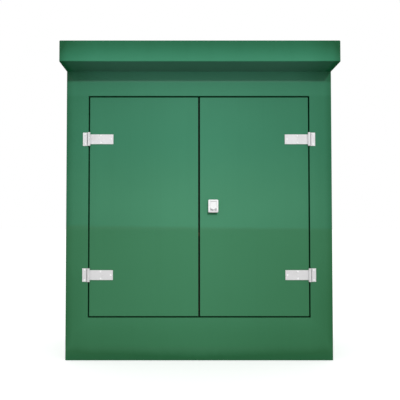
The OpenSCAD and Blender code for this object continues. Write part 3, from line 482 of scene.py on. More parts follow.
@dataclass(frozen=True)
class GelCoat(Coat):
    """Glossy green gel coat with painted shade, painted reflection, painted skylight in the roof's
    shadow and rain streaks, and a grey inside where masked; in metres.
    """

    colour: Colour = (0.043, 0.242, 0.122)
    deep: Colour = (0.029, 0.186, 0.087)
    # Colour of the painted shade and of the rain streaks.
    soil_and_shade: Colour = (0.004, 0.088, 0.030)
    # Tint of the painted reflection below the reflected horizon.
    horizon_tint: Colour = (0.041, 0.150, 0.049)
    horizon_tint_share: float = 0.3
    # Colour of the painted shade under the overhang.
    shade: Colour = (0.004, 0.200, 0.125)
    shade_share: float = 0.25
    # Colour of the painted skylight in the roof's cast shadow.
    skylight_tint: Colour = (0.080, 0.225, 0.190)
    skylight_tint_share: float = 0.3
    inside: Optional["Inside"] = None
    lining: Colour = (0.56, 0.59, 0.56)
    strands: Colour = (0.46, 0.49, 0.46)
    strand_share: float = 0.25
    drift: Grain = Grain(2.2, 2.0, fade=(0.3, 0.7))
    drift_share: float = 0.22
    speck: Grain = Grain(260.0, 2.0, fade=(0.35, 0.75))
    speck_share: float = 0.06
    strand: Grain = Grain((90.0, 90.0, 22.0), fade=(0.4, 0.7))
    streak: Grain = Grain((38.0, 38.0, 1.3), fade=(0.45, 0.8))
    ragged: Grain = Grain(16.0, 4.0, 0.6)
    ragged_reach: float = 0.05
    fringe: Fringe = Fringe()
    peel: Grain = Grain(420.0, 2.0)
    peel_share: float = 0.25
    ripple: Grain = Grain(11.0, 1.0)
    ripple_depth: float = 0.0006
    ripple_strength: float = 0.25
    darkening: ShadeAndSoiling = ShadeAndSoiling()
    facing_fade: Span = (0.2, 0.6)
    wall_depth: Span = (0.01, 0.04)
    lip_depth: Span = (0.001, 0.005)
    # How the painted shade at the foot fades out upwards.
    floor_shade_rise: Span = (-0.03, 0.085)
    foot_rise: Span = (0.08, 0.22)
    # Height, fade, lean and side share of the painted reflection and shade below the reflected
    # horizon.
    horizon_top: float = 0.604
    horizon_fade: float = 0.020
    horizon_lean: float = 0.012
    horizon_sides: float = 0.3
    thinned: Span = (0.2, 0.55)
    beside_doors: Span = (0.48, 0.56)
    # Top of the painted shade over the lower front.
    lower_shade_top: float = 0.72
    # Rise of the painted shade under the overhang, and the height above which part of it is cut.
    canopy_shade_rise: Span = (0.55, 1.02)
    top_cut_rise: Span = (1.18, 1.20)
    # Rise and spread of the roof's cast-shadow band.
    roof_shadow_rise: Span = (1.245, 1.260)
    roof_shadow_spread: Span = (0.38, 0.62)
    wall_spread: Span = (0.0, 0.5)
    soffit_spread: Span = (0.33, 0.45)
    # Spans of the painted shade at the side edges, the corners and the fascia's top.
    edge_span: Span = (0.17, 0.006)
    edge_lean: float = 0.01
    corner_span: Span = (0.04, 0.01)
    crest_span: Span = (0.095, 0.01)
    # Width of the door gaps, and reach and softness of their painted shade.
    door_gap: float = 0.0065
    gap_shade_reach: float = 0.0008
    gap_soft: float = 0.0005
    # Reach, lean and softness of the lock's painted shadow.
    lock_shadow_fall: float = 0.0115
    lock_shadow_lean: float = 0.004
    lock_shadow_soft: float = 0.001
    ior: float = 1.33
    wet: float = 0.42
    wet_least: float = 0.1
    wet_where_darker: float = 0.40
    wet_fascia: float = 0.22
    wet_gloss: float = 0.03
    wet_ior: float = 1.5
    matt: float = 0.46
    matt_where_darker: float = 0.12
    matt_drift: float = 0.05
    matt_inside: float = 0.06

    def gap_line(self, x: Wire, z: Wire) -> Wire:
        """Marks the painted shade along the gaps round and between the doors.

        Args:
            x: Place across the front.
            z: Height.

        Returns:
            1 in the gaps and on their edges.
        """
        low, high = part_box("right_door_skin")
        half = (high.z - low.z) / 2.0
        outside = (abs(x) - high.x).larger(abs(z - (low.z + half)) - half)
        ring = abs(outside - self.door_gap / 2.0) - self.door_gap / 2.0
        meeting = (abs(x) - low.x).larger(outside)
        darkening, soft = self.gap_shade_reach, self.gap_soft
        return 1.0 - ring.smaller(meeting).rise(darkening - soft, darkening + soft)

    def lock_shadow(self, x: Wire, z: Wire) -> Wire:
        """Marks the painted shadow that the lock casts on the door below it.

        Args:
            x: Place across the front.
            z: Height.

        Returns:
            1 on the mark.
        """
        low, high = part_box("lock_housing")
        half = (high.x - low.x) / 2.0
        end, soft = low.z - self.lock_shadow_fall, self.lock_shadow_soft
        off = abs(x - (low.x + half - self.lock_shadow_lean))
        across = 1.0 - off.rise(half - soft, half + soft)
        down = z.rise(end - soft, end + soft)
        return across * down * (1.0 - z.rise(low.z, low.z + 2.0 * soft))

    def shade_and_dirt(self, sheet: NodeSheet, place: Wire) -> ShadeAndDirt:
        """Works out where the painted shade, painted light and rain streaks fall.

        Args:
            sheet: The node sheet.
            place: The point in the part's own frame.

        Returns:
            The marks.
        """
        x, y, z = sheet.parts(place)
        _, ahead, up = sheet.parts(sheet.facing())
        low, high = CAD_BOX
        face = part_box("front_frame")[0].y
        darkening, fringe, wide = self.darkening, self.fringe, abs(x)
        ragged = (self.ragged.read(sheet, place) - 0.5) * self.ragged_reach
        streak = self.streak.read(sheet, place)
        near = 1.0 - y.rise(*(face + depth for depth in self.wall_depth))
        front = near * (-1.0 * ahead).rise(*self.facing_fade)
        below = near * (-1.0 * up).rise(*self.facing_fade)
        fascia = (1.0 - y.rise(*(low.y + depth for depth in self.lip_depth))) * front
        wall = front - fascia

        # Painted shade at the foot, where the body meets the floor.
        floor_shade = 1.0 - (z + ragged * fringe.floor_shade).rise(*self.floor_shade_rise)
        foot = 1.0 - (z + ragged * fringe.foot).rise(*self.foot_rise)
        # Painted shade towards the side edges and corners, and along the fascia's top.
        outward = wide + self.edge_lean * x + ragged * fringe.edge
        edge = self.verge(outward, high.x, self.edge_span)
        corner = self.verge(wide + ragged * fringe.corner, high.x, self.corner_span)
        crest = self.verge(z + ragged * fringe.crest, high.z, self.crest_span)
        # Painted reflection of the darker ground, with painted shade, below the reflected horizon
        # about 0.6 m up.
        horizon_low = self.horizon_top - self.horizon_fade
        level = z + x * self.horizon_lean + ragged * fringe.splash
        splash = 1.0 - level.rise(horizon_low, self.horizon_top)
        splash = splash * (self.horizon_sides + (1.0 - self.horizon_sides) * front)
        # Painted shade fading out upwards to about 0.72 m.
        lower_shade = (1.0 - z.rise(horizon_low, self.lower_shade_top)) * front
        upper = z.rise(*self.thinned)
        beside = wide.rise(*self.beside_doors) * (1.0 - upper)
        # Painted shade on the upper front under the roof's overhang.
        canopy_shade = (z + ragged).rise(*self.canopy_shade_rise) * front
        top_cut = z.rise(*self.top_cut_rise)
        # The band of the roof's cast shadow on the wall.
        roof_shadow_band = z.rise(*self.roof_shadow_rise) * wall

        # Painted shade at the foot, edges and corners and on the lower front; the streaks are rain
        # streaks.
        sides = wall * (edge * darkening.wall_edge + corner * darkening.wall_corner)
        grime_and_shade = (foot * darkening.foot + floor_shade * darkening.floor_shade).larger(sides)
        grime_and_shade = grime_and_shade + lower_shade * darkening.lower_shade + streak * darkening.streak
        # Painted reflection and shade below the horizon, thinner higher up and stronger beside the
        # doors.
        thin = darkening.horizon_thinned * upper
        grime_and_shade = grime_and_shade + splash * (darkening.splash - thin + darkening.horizon_beside * beside)
        # Painted shade under the overhang, partly cut above about 1.19 m.
        grime_and_shade = grime_and_shade + canopy_shade * (darkening.canopy_shade - darkening.canopy_shade_cut * top_cut)
        # Painted shade towards the wall's sides, less a little over the whole wall.
        grime_and_shade = grime_and_shade + wall * (darkening.wall * wide.rise(*self.wall_spread) - darkening.wall_offset)
        # Painted shade towards the ends of the roof's shadow band.
        grime_and_shade = grime_and_shade + roof_shadow_band * wide.rise(*self.roof_shadow_spread) * darkening.roof_shadow_band
        # Painted shade and painted reflection on the fascia: darker overall, along its top and at
        # its ends.
        rim = edge * darkening.fascia_edge + corner * darkening.fascia_corner
        grime_and_shade = grime_and_shade + fascia * (darkening.fascia + crest * darkening.crest + rim)
        # Painted shade on the soffit, towards its ends.
        rim = edge * darkening.soffit_edge + corner * darkening.soffit_corner
        grime_and_shade = grime_and_shade + below * (wide.rise(*self.soffit_spread) * darkening.soffit + rim)
        # Painted shade in the door gaps.
        gaps = self.gap_line(x, z) * near * darkening.gaps
        # The darkest mark wins, with the lock's painted shadow among them.
        grime_and_shade = grime_and_shade.larger(gaps.larger(self.lock_shadow(x, z) * front * darkening.lock_shadow))
        # The painted shade that tints the colour: the canopy shade squared, left out of the roof's
        # shadow band.
        canopy_shade = canopy_shade * canopy_shade * (1.0 - roof_shadow_band)
        return ShadeAndDirt(grime_and_shade.smaller(1.0), floor_shade, splash, canopy_shade, roof_shadow_band, fascia)

    @staticmethod
    def verge(place: Wire, end: float, span: Span) -> Wire:
        """Fades in towards an end of the object.

        Args:
            place: The place along one axis.
            end: The object's end on that axis.
            span: How far before the end the fade begins, and how far past it is complete.

        Returns:
            The fade, from 0 to 1.
        """
        before, past = span
        return place.rise(end - before, end + past)

    def paint(self, sheet: NodeSheet) -> None:
        """Mixes pigment drift with the painted shade, painted light and rain streaks, and gives the
        coat its faint ripple.

        Args:
            sheet: The node sheet to fill.
        """
        place = sheet.place()
        marks = self.shade_and_dirt(sheet, place)
        drift = self.drift.read(sheet, place)
        speck = self.speck.read(sheet, place)
        pigment = drift * self.drift_share + speck * self.speck_share
        # Painted tint below the reflected horizon, left out at the foot.
        horizon_tinted = marks.splash * (self.horizon_tint_share - self.horizon_tint_share * marks.floor_shade * marks.floor_shade)
        colour = sheet.blend(pigment, self.colour, self.deep)
        # Painted shade under the overhang.
        colour = sheet.blend(marks.canopy_shade * self.shade_share, colour, self.shade)
        # Painted skylight in the roof's cast shadow.
        colour = sheet.blend(marks.roof_shadow_band * self.skylight_tint_share, colour, self.skylight_tint)
        # Painted shade, with the rain streaks.
        colour = sheet.blend(marks.grime_and_shade, colour, self.soil_and_shade)
        colour = sheet.blend(horizon_tinted, colour, self.horizon_tint)
        gloss = self.matt + self.matt_where_darker * marks.grime_and_shade + self.matt_drift * drift
        if self.inside is not None:
            mask = self.inside.mask(sheet, place)
            strand = self.strand.read(sheet, place)
            grey = sheet.blend(strand * self.strand_share, self.lining, self.strands)
            colour = sheet.blend(mask, colour, grey)
            gloss = gloss + self.matt_inside * mask
        wet = self.wet - self.wet_where_darker * marks.grime_and_shade - self.wet_fascia * marks.fascia
        skin = self.peel.read(sheet, place) * self.peel_share + self.ripple.read(sheet, place)
        sheet.principled(
            {
                "Base Color": colour,
                "Roughness": gloss,
                "IOR": self.ior,
                "Coat Weight": wet.larger(self.wet * self.wet_least),
                "Coat Roughness": self.wet_gloss,
                "Coat IOR": self.wet_ior,
                "Normal": sheet.relief(skin, self.ripple_depth, self.ripple_strength),
            }
        )


class Inside(Enum):
    """Which side of a moulding is the grey inside."""

    SHELL = "body_shell"
    CEILING = "front_frame"

    def mask(self, sheet: NodeSheet, place: Wire) -> Wire:
        """Marks the inner faces.

        Args:
            sheet: The node sheet.
            place: The point in the part's own frame.

        Returns:
            1 on the inner faces and 0 on the outer ones.
        """
        x, y, _ = sheet.parts(place)
        low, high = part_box(self.value)
        skin, soft = 3.0 * MM, 0.2 * MM
        if self is Inside.CEILING:
            return y.rise(low.y + MM, low.y + skin)
        side = abs(x).rise(high.x - skin - soft, high.x - skin + soft)
        back = y.rise(high.y - skin - soft, high.y - skin + soft)
        return 1.0 - side.larger(back)


@dataclass(frozen=True)
class FlowCoat(Coat):
    """Matt grey flow coat over chopped strands, as on the inner faces of mouldings."""

    colour: Colour = (0.56, 0.59, 0.56)
    low: Colour = (0.44, 0.47, 0.44)
    across: Grain = Grain((150.0, 60.0, 28.0), fade=(0.35, 0.7))
    along: Grain = Grain((28.0, 60.0, 150.0), fade=(0.35, 0.7))
    strand_share: float = 0.30
    cloud: Grain = Grain(5.0, 2.0, fade=(0.3, 0.75))
    cloud_share: float = 0.25
    gloss: float = 0.42
    spread: float = 0.16
    depth: float = 0.0004
    strength: float = 0.35

    def paint(self, sheet: NodeSheet) -> None:
        """Shows strands through the coat, in colour and in height.

        Args:
            sheet: The node sheet to fill.
        """
        place = sheet.place()
        strands = self.across.read(sheet, place).larger(self.along.read(sheet, place))
        tone = strands * self.strand_share + self.cloud.read(sheet, place) * self.cloud_share
        sheet.principled(
            {
                "Base Color": sheet.blend(tone, self.colour, self.low),
                "Roughness": self.gloss + self.spread * strands,
                "Normal": sheet.relief(strands, self.depth, self.strength),
            }
        )


@dataclass(frozen=True)
class Metal(Coat):
    """A metal with a base tone, a stained tone, and a grain that runs along one axis."""

    colour: Colour = (0.865, 0.855, 0.875)
    stain: Colour = (0.76, 0.75, 0.76)
    gloss: float = 0.38
    spread: float = 0.14
    grain: Point = (12.0, 500.0, 500.0)
    grain_detail: float = 2.0
    grain_fade: Span = (0.3, 0.7)
    grain_share: float = 0.12
    grain_gloss: float = 0.05
    stain_scale: float = 14.0
    stain_detail: float = 4.0
    stain_rough: float = 0.6
    stain_fade: Span = (0.42, 0.72)
    stain_share: float = 0.5
    depth: float = 0.00006
    strength: float = 0.6
    metal: float = 1.0

    def paint(self, sheet: NodeSheet) -> None:
        """Lays grain and stains over the bare metal, and painted shade where a finish has it.

        Args:
            sheet: The node sheet to fill.
        """
        place = sheet.place()
        grain = Grain(self.grain, self.grain_detail, fade=self.grain_fade)
        stain = Grain(self.stain_scale, self.stain_detail, self.stain_rough, self.stain_fade)
        lines, patch = grain.read(sheet, place), stain.read(sheet, place)
        height = self.height(sheet, place, lines)
        stained = (patch * self.stain_share + lines * self.grain_share).smaller(1.0)
        colour = sheet.blend(stained, self.colour, self.stain)
        sheet.principled(
            {
                "Base Color": self.shaded(sheet, place, colour),
                "Metallic": self.metal,
                "Roughness": self.gloss + self.spread * patch + self.grain_gloss * lines,
                "Normal": sheet.relief(height, self.depth, self.strength),
            }
        )

    def height(self, sheet: NodeSheet, place: Wire, lines: Wire) -> Wire:
        """Returns the height map, which is the grain itself on a plain metal."""
        return lines

    def shaded(self, sheet: NodeSheet, place: Wire, colour: Wire) -> Wire:
        """Returns the colour with its painted shade, of which a plain metal has none."""
        return colour


@dataclass(frozen=True)
class HingeSteel(Metal):
    """Brushed steel with painted shade in the corner beside the hinge barrels."""

    # Colour, share, place and half width of the painted shade beside the barrels.
    darkening: Colour = (0.36, 0.34, 0.36)
    barrel_shade_share: float = 0.7
    barrel_shade_out: float = 7.0 * MM
    barrel_shade_half: float = 3.0 * MM

    def shaded(self, sheet: NodeSheet, place: Wire, colour: Wire) -> Wire:
        """Paints a line of shade along each barrel.

        Args:
            sheet: The node sheet.
            place: The point in the part's own frame.
            colour: The metal's colour without the painted shade.

        Returns:
            The colour with the line.
        """
        low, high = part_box("hinge_pins")
        corner = high.x - (high.y - low.y) / 2.0 + self.barrel_shade_out
        off = abs(abs(sheet.parts(place)[0]) - corner)
        unshaded = off.rise(self.barrel_shade_half - MM, self.barrel_shade_half + MM)
        return sheet.blend(self.barrel_shade_share - self.barrel_shade_share * unshaded, colour, self.darkening)


@dataclass(frozen=True)
class LockSatin(Metal):
    """Satin metal of the lock, with painted shade towards its lower end."""

    # Colour, share and height of the painted shade on the lock's lower end.
    lock_end_shade: Colour = (0.66, 0.61, 0.64)
    lock_end_shade_share: float = 0.6
    lock_end_shade_top: float = 16.0 * MM

    def shaded(self, sheet: NodeSheet, place: Wire, colour: Wire) -> Wire:
        """Paints shade on the lower end.

        Args:
            sheet: The node sheet.
            place: The point in the part's own frame.
            colour: The metal's colour without the painted shade.

        Returns:
            The colour with the painted shade on its lower end.
        """
        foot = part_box("lock_housing")[0].z
        unshaded = sheet.parts(place)[2].rise(foot, foot + self.lock_end_shade_top)
        return sheet.blend(self.lock_end_shade_share - self.lock_end_shade_share * unshaded, colour, self.lock_end_shade)


@dataclass(frozen=True)
class CastMetal(Metal):
    """A sand-cast metal, grained all over."""

    sand: Grain = Grain(620.0, 3.0, 0.6)
    swell: Grain = Grain(60.0, 2.0)
    swell_share: float = 0.6

    def height(self, sheet: NodeSheet, place: Wire, lines: Wire) -> Wire:
        """Returns the sand grain with a slower swell under it."""
        swell = self.swell.read(sheet, place) * self.swell_share
        return self.sand.read(sheet, place) + swell


@dataclass(frozen=True)
class ThreadedPipe(Metal):
    """Drawn pipe with a cut thread on its lower end."""

    pitch: float = 2.3 * MM
    thread_top: float = 45.0 * MM
    thread_weight: float = 8.0
    line_weight: float = 0.06

    def height(self, sheet: NodeSheet, place: Wire, lines: Wire) -> Wire:
        """Adds the thread to the draw lines.

        Args:
            sheet: The node sheet.
            place: The point in the part's own frame.
            lines: The draw lines.

        Returns:
            The height map.
        """
        z = sheet.parts(place)[2]
        saw = sheet.math("PINGPONG", z, self.pitch / 2.0) * (2.0 / self.pitch)
        low = 1.0 - z.rise(self.thread_top - MM, self.thread_top)
        return lines * self.line_weight + saw * low * self.thread_weight


@dataclass(frozen=True)
class SealedPly(Coat):
    """Sealed plywood: long grain on the face and plies on the edges."""

    early: Colour = (0.50, 0.35, 0.20)
    late: Colour = (0.30, 0.18, 0.09)
    plies: int = 7
    thickness: float = 18.0 * MM
    ply_fade: Span = (0.3, 0.7)
    ply_share: float = 0.18
    bend: Grain = Grain(2.6, 1.0)
    bend_reach: float = 0.035
    length: Point = (1.0, 1.0, 0.06)
    rings: Grain = Grain(42.0, 4.0, 0.55, (0.36, 0.66))
    ring_share: float = 0.26
    ring_height: float = 0.5
    fibre: Grain = Grain((520.0, 520.0, 11.0), fade=(0.3, 0.7))
    fibre_share: float = 0.34
    gloss: float = 0.36
    spread: float = 0.18
    sealer: float = 0.25
    depth: float = 0.0002
    strength: float = 0.35

    def paint(self, sheet: NodeSheet) -> None:
        """Draws the bent face grain along Z, and the plies across Y.

        Args:
            sheet: The node sheet to fill.
        """
        place = sheet.place()
        y = sheet.parts(place)[1]
        bend = self.bend.read(sheet, place) * self.bend_reach
        rings = self.rings.read(sheet, sheet.shift(sheet.stretch(place, self.length), bend))
        fibre = self.fibre.read(sheet, place)
        ply = self.thickness / self.plies
        layers = (sheet.math("PINGPONG", y, ply) * (1.0 / ply)).rise(*self.ply_fade)
        tone = rings * self.ring_share + fibre * self.fibre_share + layers * self.ply_share
        sheet.principled(
            {
                "Base Color": sheet.blend(tone.smaller(1.0), self.early, self.late),
                "Roughness": self.gloss + self.spread * fibre,
                "Coat Weight": self.sealer,
                "Normal": sheet.relief(
                    fibre + rings * self.ring_height, self.depth, self.strength
                ),
            }
        )


@dataclass(frozen=True)
class Soft(Coat):
    """Dipped or moulded plastic or rubber with a fine grain, and a bloom or rubbed spots."""

    colour: Colour
    worn: Colour
    gloss: float
    spread: float = 0.15
    spots: Grain = Grain(38.0, 4.0, 0.6, (0.45, 0.75))
    spot_share: float = 0.6
    grain: Grain = Grain(700.0, 2.0)
    depth: float = 0.0002
    strength: float = 0.5

    def paint(self, sheet: NodeSheet) -> None:
        """Adds the spots and the grain.

        Args:
            sheet: The node sheet to fill.
        """
        place = sheet.place()
        spots = self.spots.read(sheet, place)
        grain = self.grain.read(sheet, place)
        sheet.principled(
            {
                "Base Color": sheet.blend(spots * self.spot_share, self.colour, self.worn),
                "Roughness": self.gloss + self.spread * spots,
                "Normal": sheet.relief(grain, self.depth, self.strength),
            }
        )


@dataclass(frozen=True)
class PaleFloor(Coat):
    """The stage's floor, which keeps the shadow and looks paler than it lights."""

    tone: float = 0.80
    lift: float = 0.50

    def paint(self, sheet: NodeSheet) -> None:
        """Adds a glow that only the eye and the gloss see to a matt ground.

        Args:
            sheet: The node sheet to fill.
        """
        grey = rgba((self.tone, self.tone, self.tone))
        matt = sheet.add("ShaderNodeBsdfDiffuse", sockets={"Color": grey})
        glow = self.lift * sheet.background_rays()
        lift = sheet.add("ShaderNodeEmission", sockets={"Strength": glow})
        sheet.surface(sheet.add("ShaderNodeAddShader", sockets={0: matt, 1: lift}))


@dataclass(frozen=True)
class GroundCard(Coat):
    """The grey ground that only the gloss of the object sees."""

    tone: Colour = (0.40, 0.39, 0.36)

    def paint(self, sheet: NodeSheet) -> None:
        """Fills the sheet with an even glow."""
        glow = {"Color": rgba(self.tone), "Strength": 1.0}
        sheet.surface(sheet.add("ShaderNodeEmission", sockets=glow))


class Finish(Enum):
    """Every finish on the object."""

    GREEN = GelCoat("green_gel_coat")
    SHELL = GelCoat("green_shell_grey_inside", inside=Inside.SHELL)
    # The soffit is a darker, greyer copy of the green gel coat that reflects less: painted shade on
    # the roof's underside.
    SHADED_SOFFIT = GelCoat(
        "shaded_green_soffit_grey_ceiling",
        colour=(0.055, 0.172, 0.115),
        deep=(0.045, 0.142, 0.094),
        inside=Inside.CEILING,
        ior=1.12,
        wet=0.0,
        matt=0.75,
    )
    GREY = FlowCoat("grey_flow_coat")
    STAINLESS = Metal("brushed_stainless", metal=0.5)
    HINGE = HingeSteel("hinge_steel", metal=0.5)
    # Near-white matt screw heads: painted glints on the stainless hinge screws.
    SCREW_GLINT = Metal("painted_glint_screw", (0.98, 0.98, 0.98), (0.93, 0.93, 0.94), 0.30, 0.10, metal=0.0)
    SCREW = Metal("turned_stainless", (0.62, 0.62, 0.63), (0.42, 0.42, 0.43), 0.30, 0.16)
    LOCK = LockSatin("satin_lock", (0.97, 0.97, 0.98), (0.90, 0.90, 0.92), 0.42, 0.06, metal=0.12)
    ZINC = Metal(
        "zinc_plate",
        (0.55, 0.57, 0.58),
        (0.46, 0.44, 0.36),
        gloss=0.36,
        spread=0.18,
        grain=(80.0, 80.0, 80.0),
        stain_scale=30.0,
    )
    SPRING = Metal(
        "spring_wire",
        (0.45, 0.45, 0.46),
        (0.28, 0.27, 0.26),
        gloss=0.32,
        spread=0.15,
        grain=(90.0, 90.0, 90.0),
    )
    BRONZE = CastMetal(
        "cast_bronze",
        (0.58, 0.37, 0.16),
        (0.30, 0.20, 0.10),
        gloss=0.36,
        spread=0.20,
        stain_scale=24.0,
        stain_share=0.65,
        depth=0.00035,
    )
    COPPER = ThreadedPipe(
        "drawn_copper",
        (0.72, 0.34, 0.20),
        (0.36, 0.17, 0.11),
        gloss=0.28,
        spread=0.22,
        grain=(400.0, 400.0, 6.0),
        stain_scale=18.0,
        stain_share=0.6,
        depth=0.0005,
    )
    RUBBER = Soft(
        "seal_rubber",
        (0.011, 0.011, 0.011),
        (0.032, 0.031, 0.030),
        gloss=0.62,
        spread=0.2,
        spots=Grain(45.0, 4.0, 0.6, (0.4, 0.8)),
        grain=Grain(900.0, 2.0),
        strength=0.4,
    )
    BOARD = SealedPly("sealed_plywood")
    GRIP = Soft("blue_vinyl", (0.015, 0.075, 0.36), (0.05, 0.13, 0.42), 0.33)
    FIBRE = Soft("fibre_gasket", (0.16, 0.07, 0.05), (0.24, 0.12, 0.09), 0.6)


@dataclass
class Blank:
    """A mesh in the making, in metres in the part's own frame."""

    mesh: bmesh.types.BMesh = field(default_factory=bmesh.new)

    @staticmethod
    def _radius(radius: float, sides: int, angle: float) -> float:
        """Works out how far a circle or polygon reaches at an angle.

        Args:
            radius: Radius of the circle, or of the polygon over its corners.
            sides: Number of sides, or ROUND.
            angle: The angle, from a corner.

        Returns:
            The reach.
        """
        if sides == ROUND:
            return radius
        step = 2.0 * math.pi / sides
        return radius * math.cos(step / 2.0) / math.cos(angle % step - step / 2.0)

    def turn(self, at: Point, axis: Point, profile: Profile, steps: int = 24) -> None:
        """Turns a profile round an axis into a closed solid, whose rings may be polygons.

        Args:
            at: The foot of the axis, in millimetres.
            axis: The direction of the axis.
            profile: Radius and height in millimetres, and number of sides, of each ring.
            steps: Points in each ring.
        """
        turned = Vector(axis).to_track_quat("Z", "X").to_matrix().to_4x4()
        spot = Matrix.Translation(Vector(at) * MM) @ turned
        rings: List[List[bmesh.types.BMVert]] = []
        for radius, height, sides in profile:
            back = bool(rings) and (radius, height, sides) == profile[0]
            rings.append(rings[0] if back else self._ring(spot, radius, height, sides, steps))
        for first, second in zip(rings, rings[1:]):
            self._skin(first, second)
        if rings[0] is not rings[-1]:
            for end in (rings[0], rings[-1]):
                if len(end) > 2:
                    self.mesh.faces.new(end)

    def _ring(
        self, spot: Matrix, radius: float, height: float, sides: int, steps: int
    ) -> List[bmesh.types.BMVert]:
        """Adds the points of one ring of a turned profile.

        Args:
            spot: The foot of the axis and its direction.
            radius: Radius in millimetres; 0 gives a single point.
            height: Height along the axis in millimetres.
            sides: Number of sides, or ROUND.
            steps: Points in the ring.

        Returns:
            The points.
        """
        if radius <= 0.0:
            return [self.mesh.verts.new(spot @ Vector((0.0, 0.0, height * MM)))]
        ring: List[bmesh.types.BMVert] = []
        for index in range(steps):
            angle = 2.0 * math.pi * index / steps
            reach = self._radius(radius, sides, angle)
            point = Vector((reach * math.cos(angle), reach * math.sin(angle), height)) * MM
            ring.append(self.mesh.verts.new(spot @ point))
        return ring

    def _skin(self, first: List[bmesh.types.BMVert], second: List[bmesh.types.BMVert]) -> None:
        """Joins two rings, either of which may be one point.

        Args:
            first: The earlier ring.
            second: The later ring.
        """
        count = max(len(first), len(second))
        for index in range(count):
            after = (index + 1) % count
            corners = [first[index % len(first)], first[after % len(first)]]
            corners += [second[after % len(second)], second[index % len(second)]]
            kept = list(dict.fromkeys(corners))
            if len(kept) > 2:
                self.mesh.faces.new(kept)

    def loft(self, rings: Sequence[Sequence[Point]]) -> None:
        """Skins closed rings of equal length and caps both ends.

        Args:
            rings: The rings' points, in millimetres.
        """
        made = [[self.mesh.verts.new(Vector(point) * MM) for point in ring] for ring in rings]
        for first, second in zip(made, made[1:]):
            self._skin(first, second)
        self.mesh.faces.new(list(reversed(made[0])))
        self.mesh.faces.new(made[-1])

    def place(
        self, name: str, finish: Finish, body: str, slot: str, crease: float = 40.0
    ) -> bpy.types.Object:
        """Turns the blank into a piece that rides on a body.

        Args:
            name: The piece's name.
            finish: Its finish.
            body: The body that it rides on.
            slot: Not used.
            crease: Angle in degrees above which an edge stays sharp.

        Returns:
            The piece.
        """
        bmesh.ops.recalc_face_normals(self.mesh, faces=self.mesh.faces[:])
        for face in self.mesh.faces:
            face.smooth = True
        for edge in self.mesh.edges:
            if len(edge.link_faces) == 2 and edge.calc_face_angle() > math.radians(crease):
                edge.smooth = False
        data = bpy.data.meshes.new(name)
        self.mesh.to_mesh(data)
        self.mesh.free()
        data.materials.append(finish.value.material())
        piece = bpy.data.objects.new(name, data)
        bpy.context.scene.collection.objects.link(piece)
        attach(piece, body)
        LOG.info("%s rides on %s", name, body)
        return piece


@dataclass(frozen=True)
class DomeHead:
    """A domed screw head with a hexagon socket, in millimetres and shares of its height."""

    radius: float
    height: float
    socket: float
    angles: Tuple[float, ...] = (0.0, 0.35, 0.7, 1.0)
    shoulder: float = 0.18
    rim: float = 0.96
    rim_flare: float = 1.12
    rim_chamfer: float = 0.1
    socket_foot: float = 0.35
    socket_point: float = 0.25

    def profile(self) -> Profile:
        """Draws the head from its foot to the bottom of its socket.

        Returns:
            Radius, height and number of sides of each ring.
        """
        rim = self.height * self.rim
        dome: List[Tuple[float, float, int]] = []
        for angle in self.angles:
            share = self.shoulder + (1.0 - self.shoulder) * math.sin(angle)
            dome.append((self.radius * math.cos(angle), self.height * share, ROUND))
        return [
            (self.radius, 0.0, ROUND),
            *dome,
            (self.socket * self.rim_flare, rim, ROUND),
            (self.socket, rim - self.rim_chamfer, HEXAGON),
            (self.socket, self.height * self.socket_foot, HEXAGON),
            (0.0, self.height * self.socket_point, ROUND),
        ]


@dataclass(frozen=True)
class HexNut:
    """A chamfered hexagon nut on its washer, in millimetres and shares of its sizes."""

    radius: float
    height: float
    washer: float
    washer_t: float = 0.16
    washer_edge: Span = (0.97, 0.8)
    chamfer: Span = (0.87, 0.86)

    def profile(self) -> Profile:
        """Draws the nut from the washer's foot to the middle of its top.

        Returns:
            Radius, height and number of sides of each ring.
        """
        thick = self.washer * self.washer_t
        top = thick + self.height
        edge_r, edge_z = self.washer_edge
        bevel_r, bevel_z = self.chamfer
        return [
            (self.washer, 0.0, ROUND),
            (self.washer, thick * edge_z, ROUND),
            (self.washer * edge_r, thick, ROUND),
            (self.radius, thick, HEXAGON),
            (self.radius, thick + self.height * bevel_z, HEXAGON),
            (self.radius * bevel_r, top, ROUND),
            (0.0, top, ROUND),
        ]


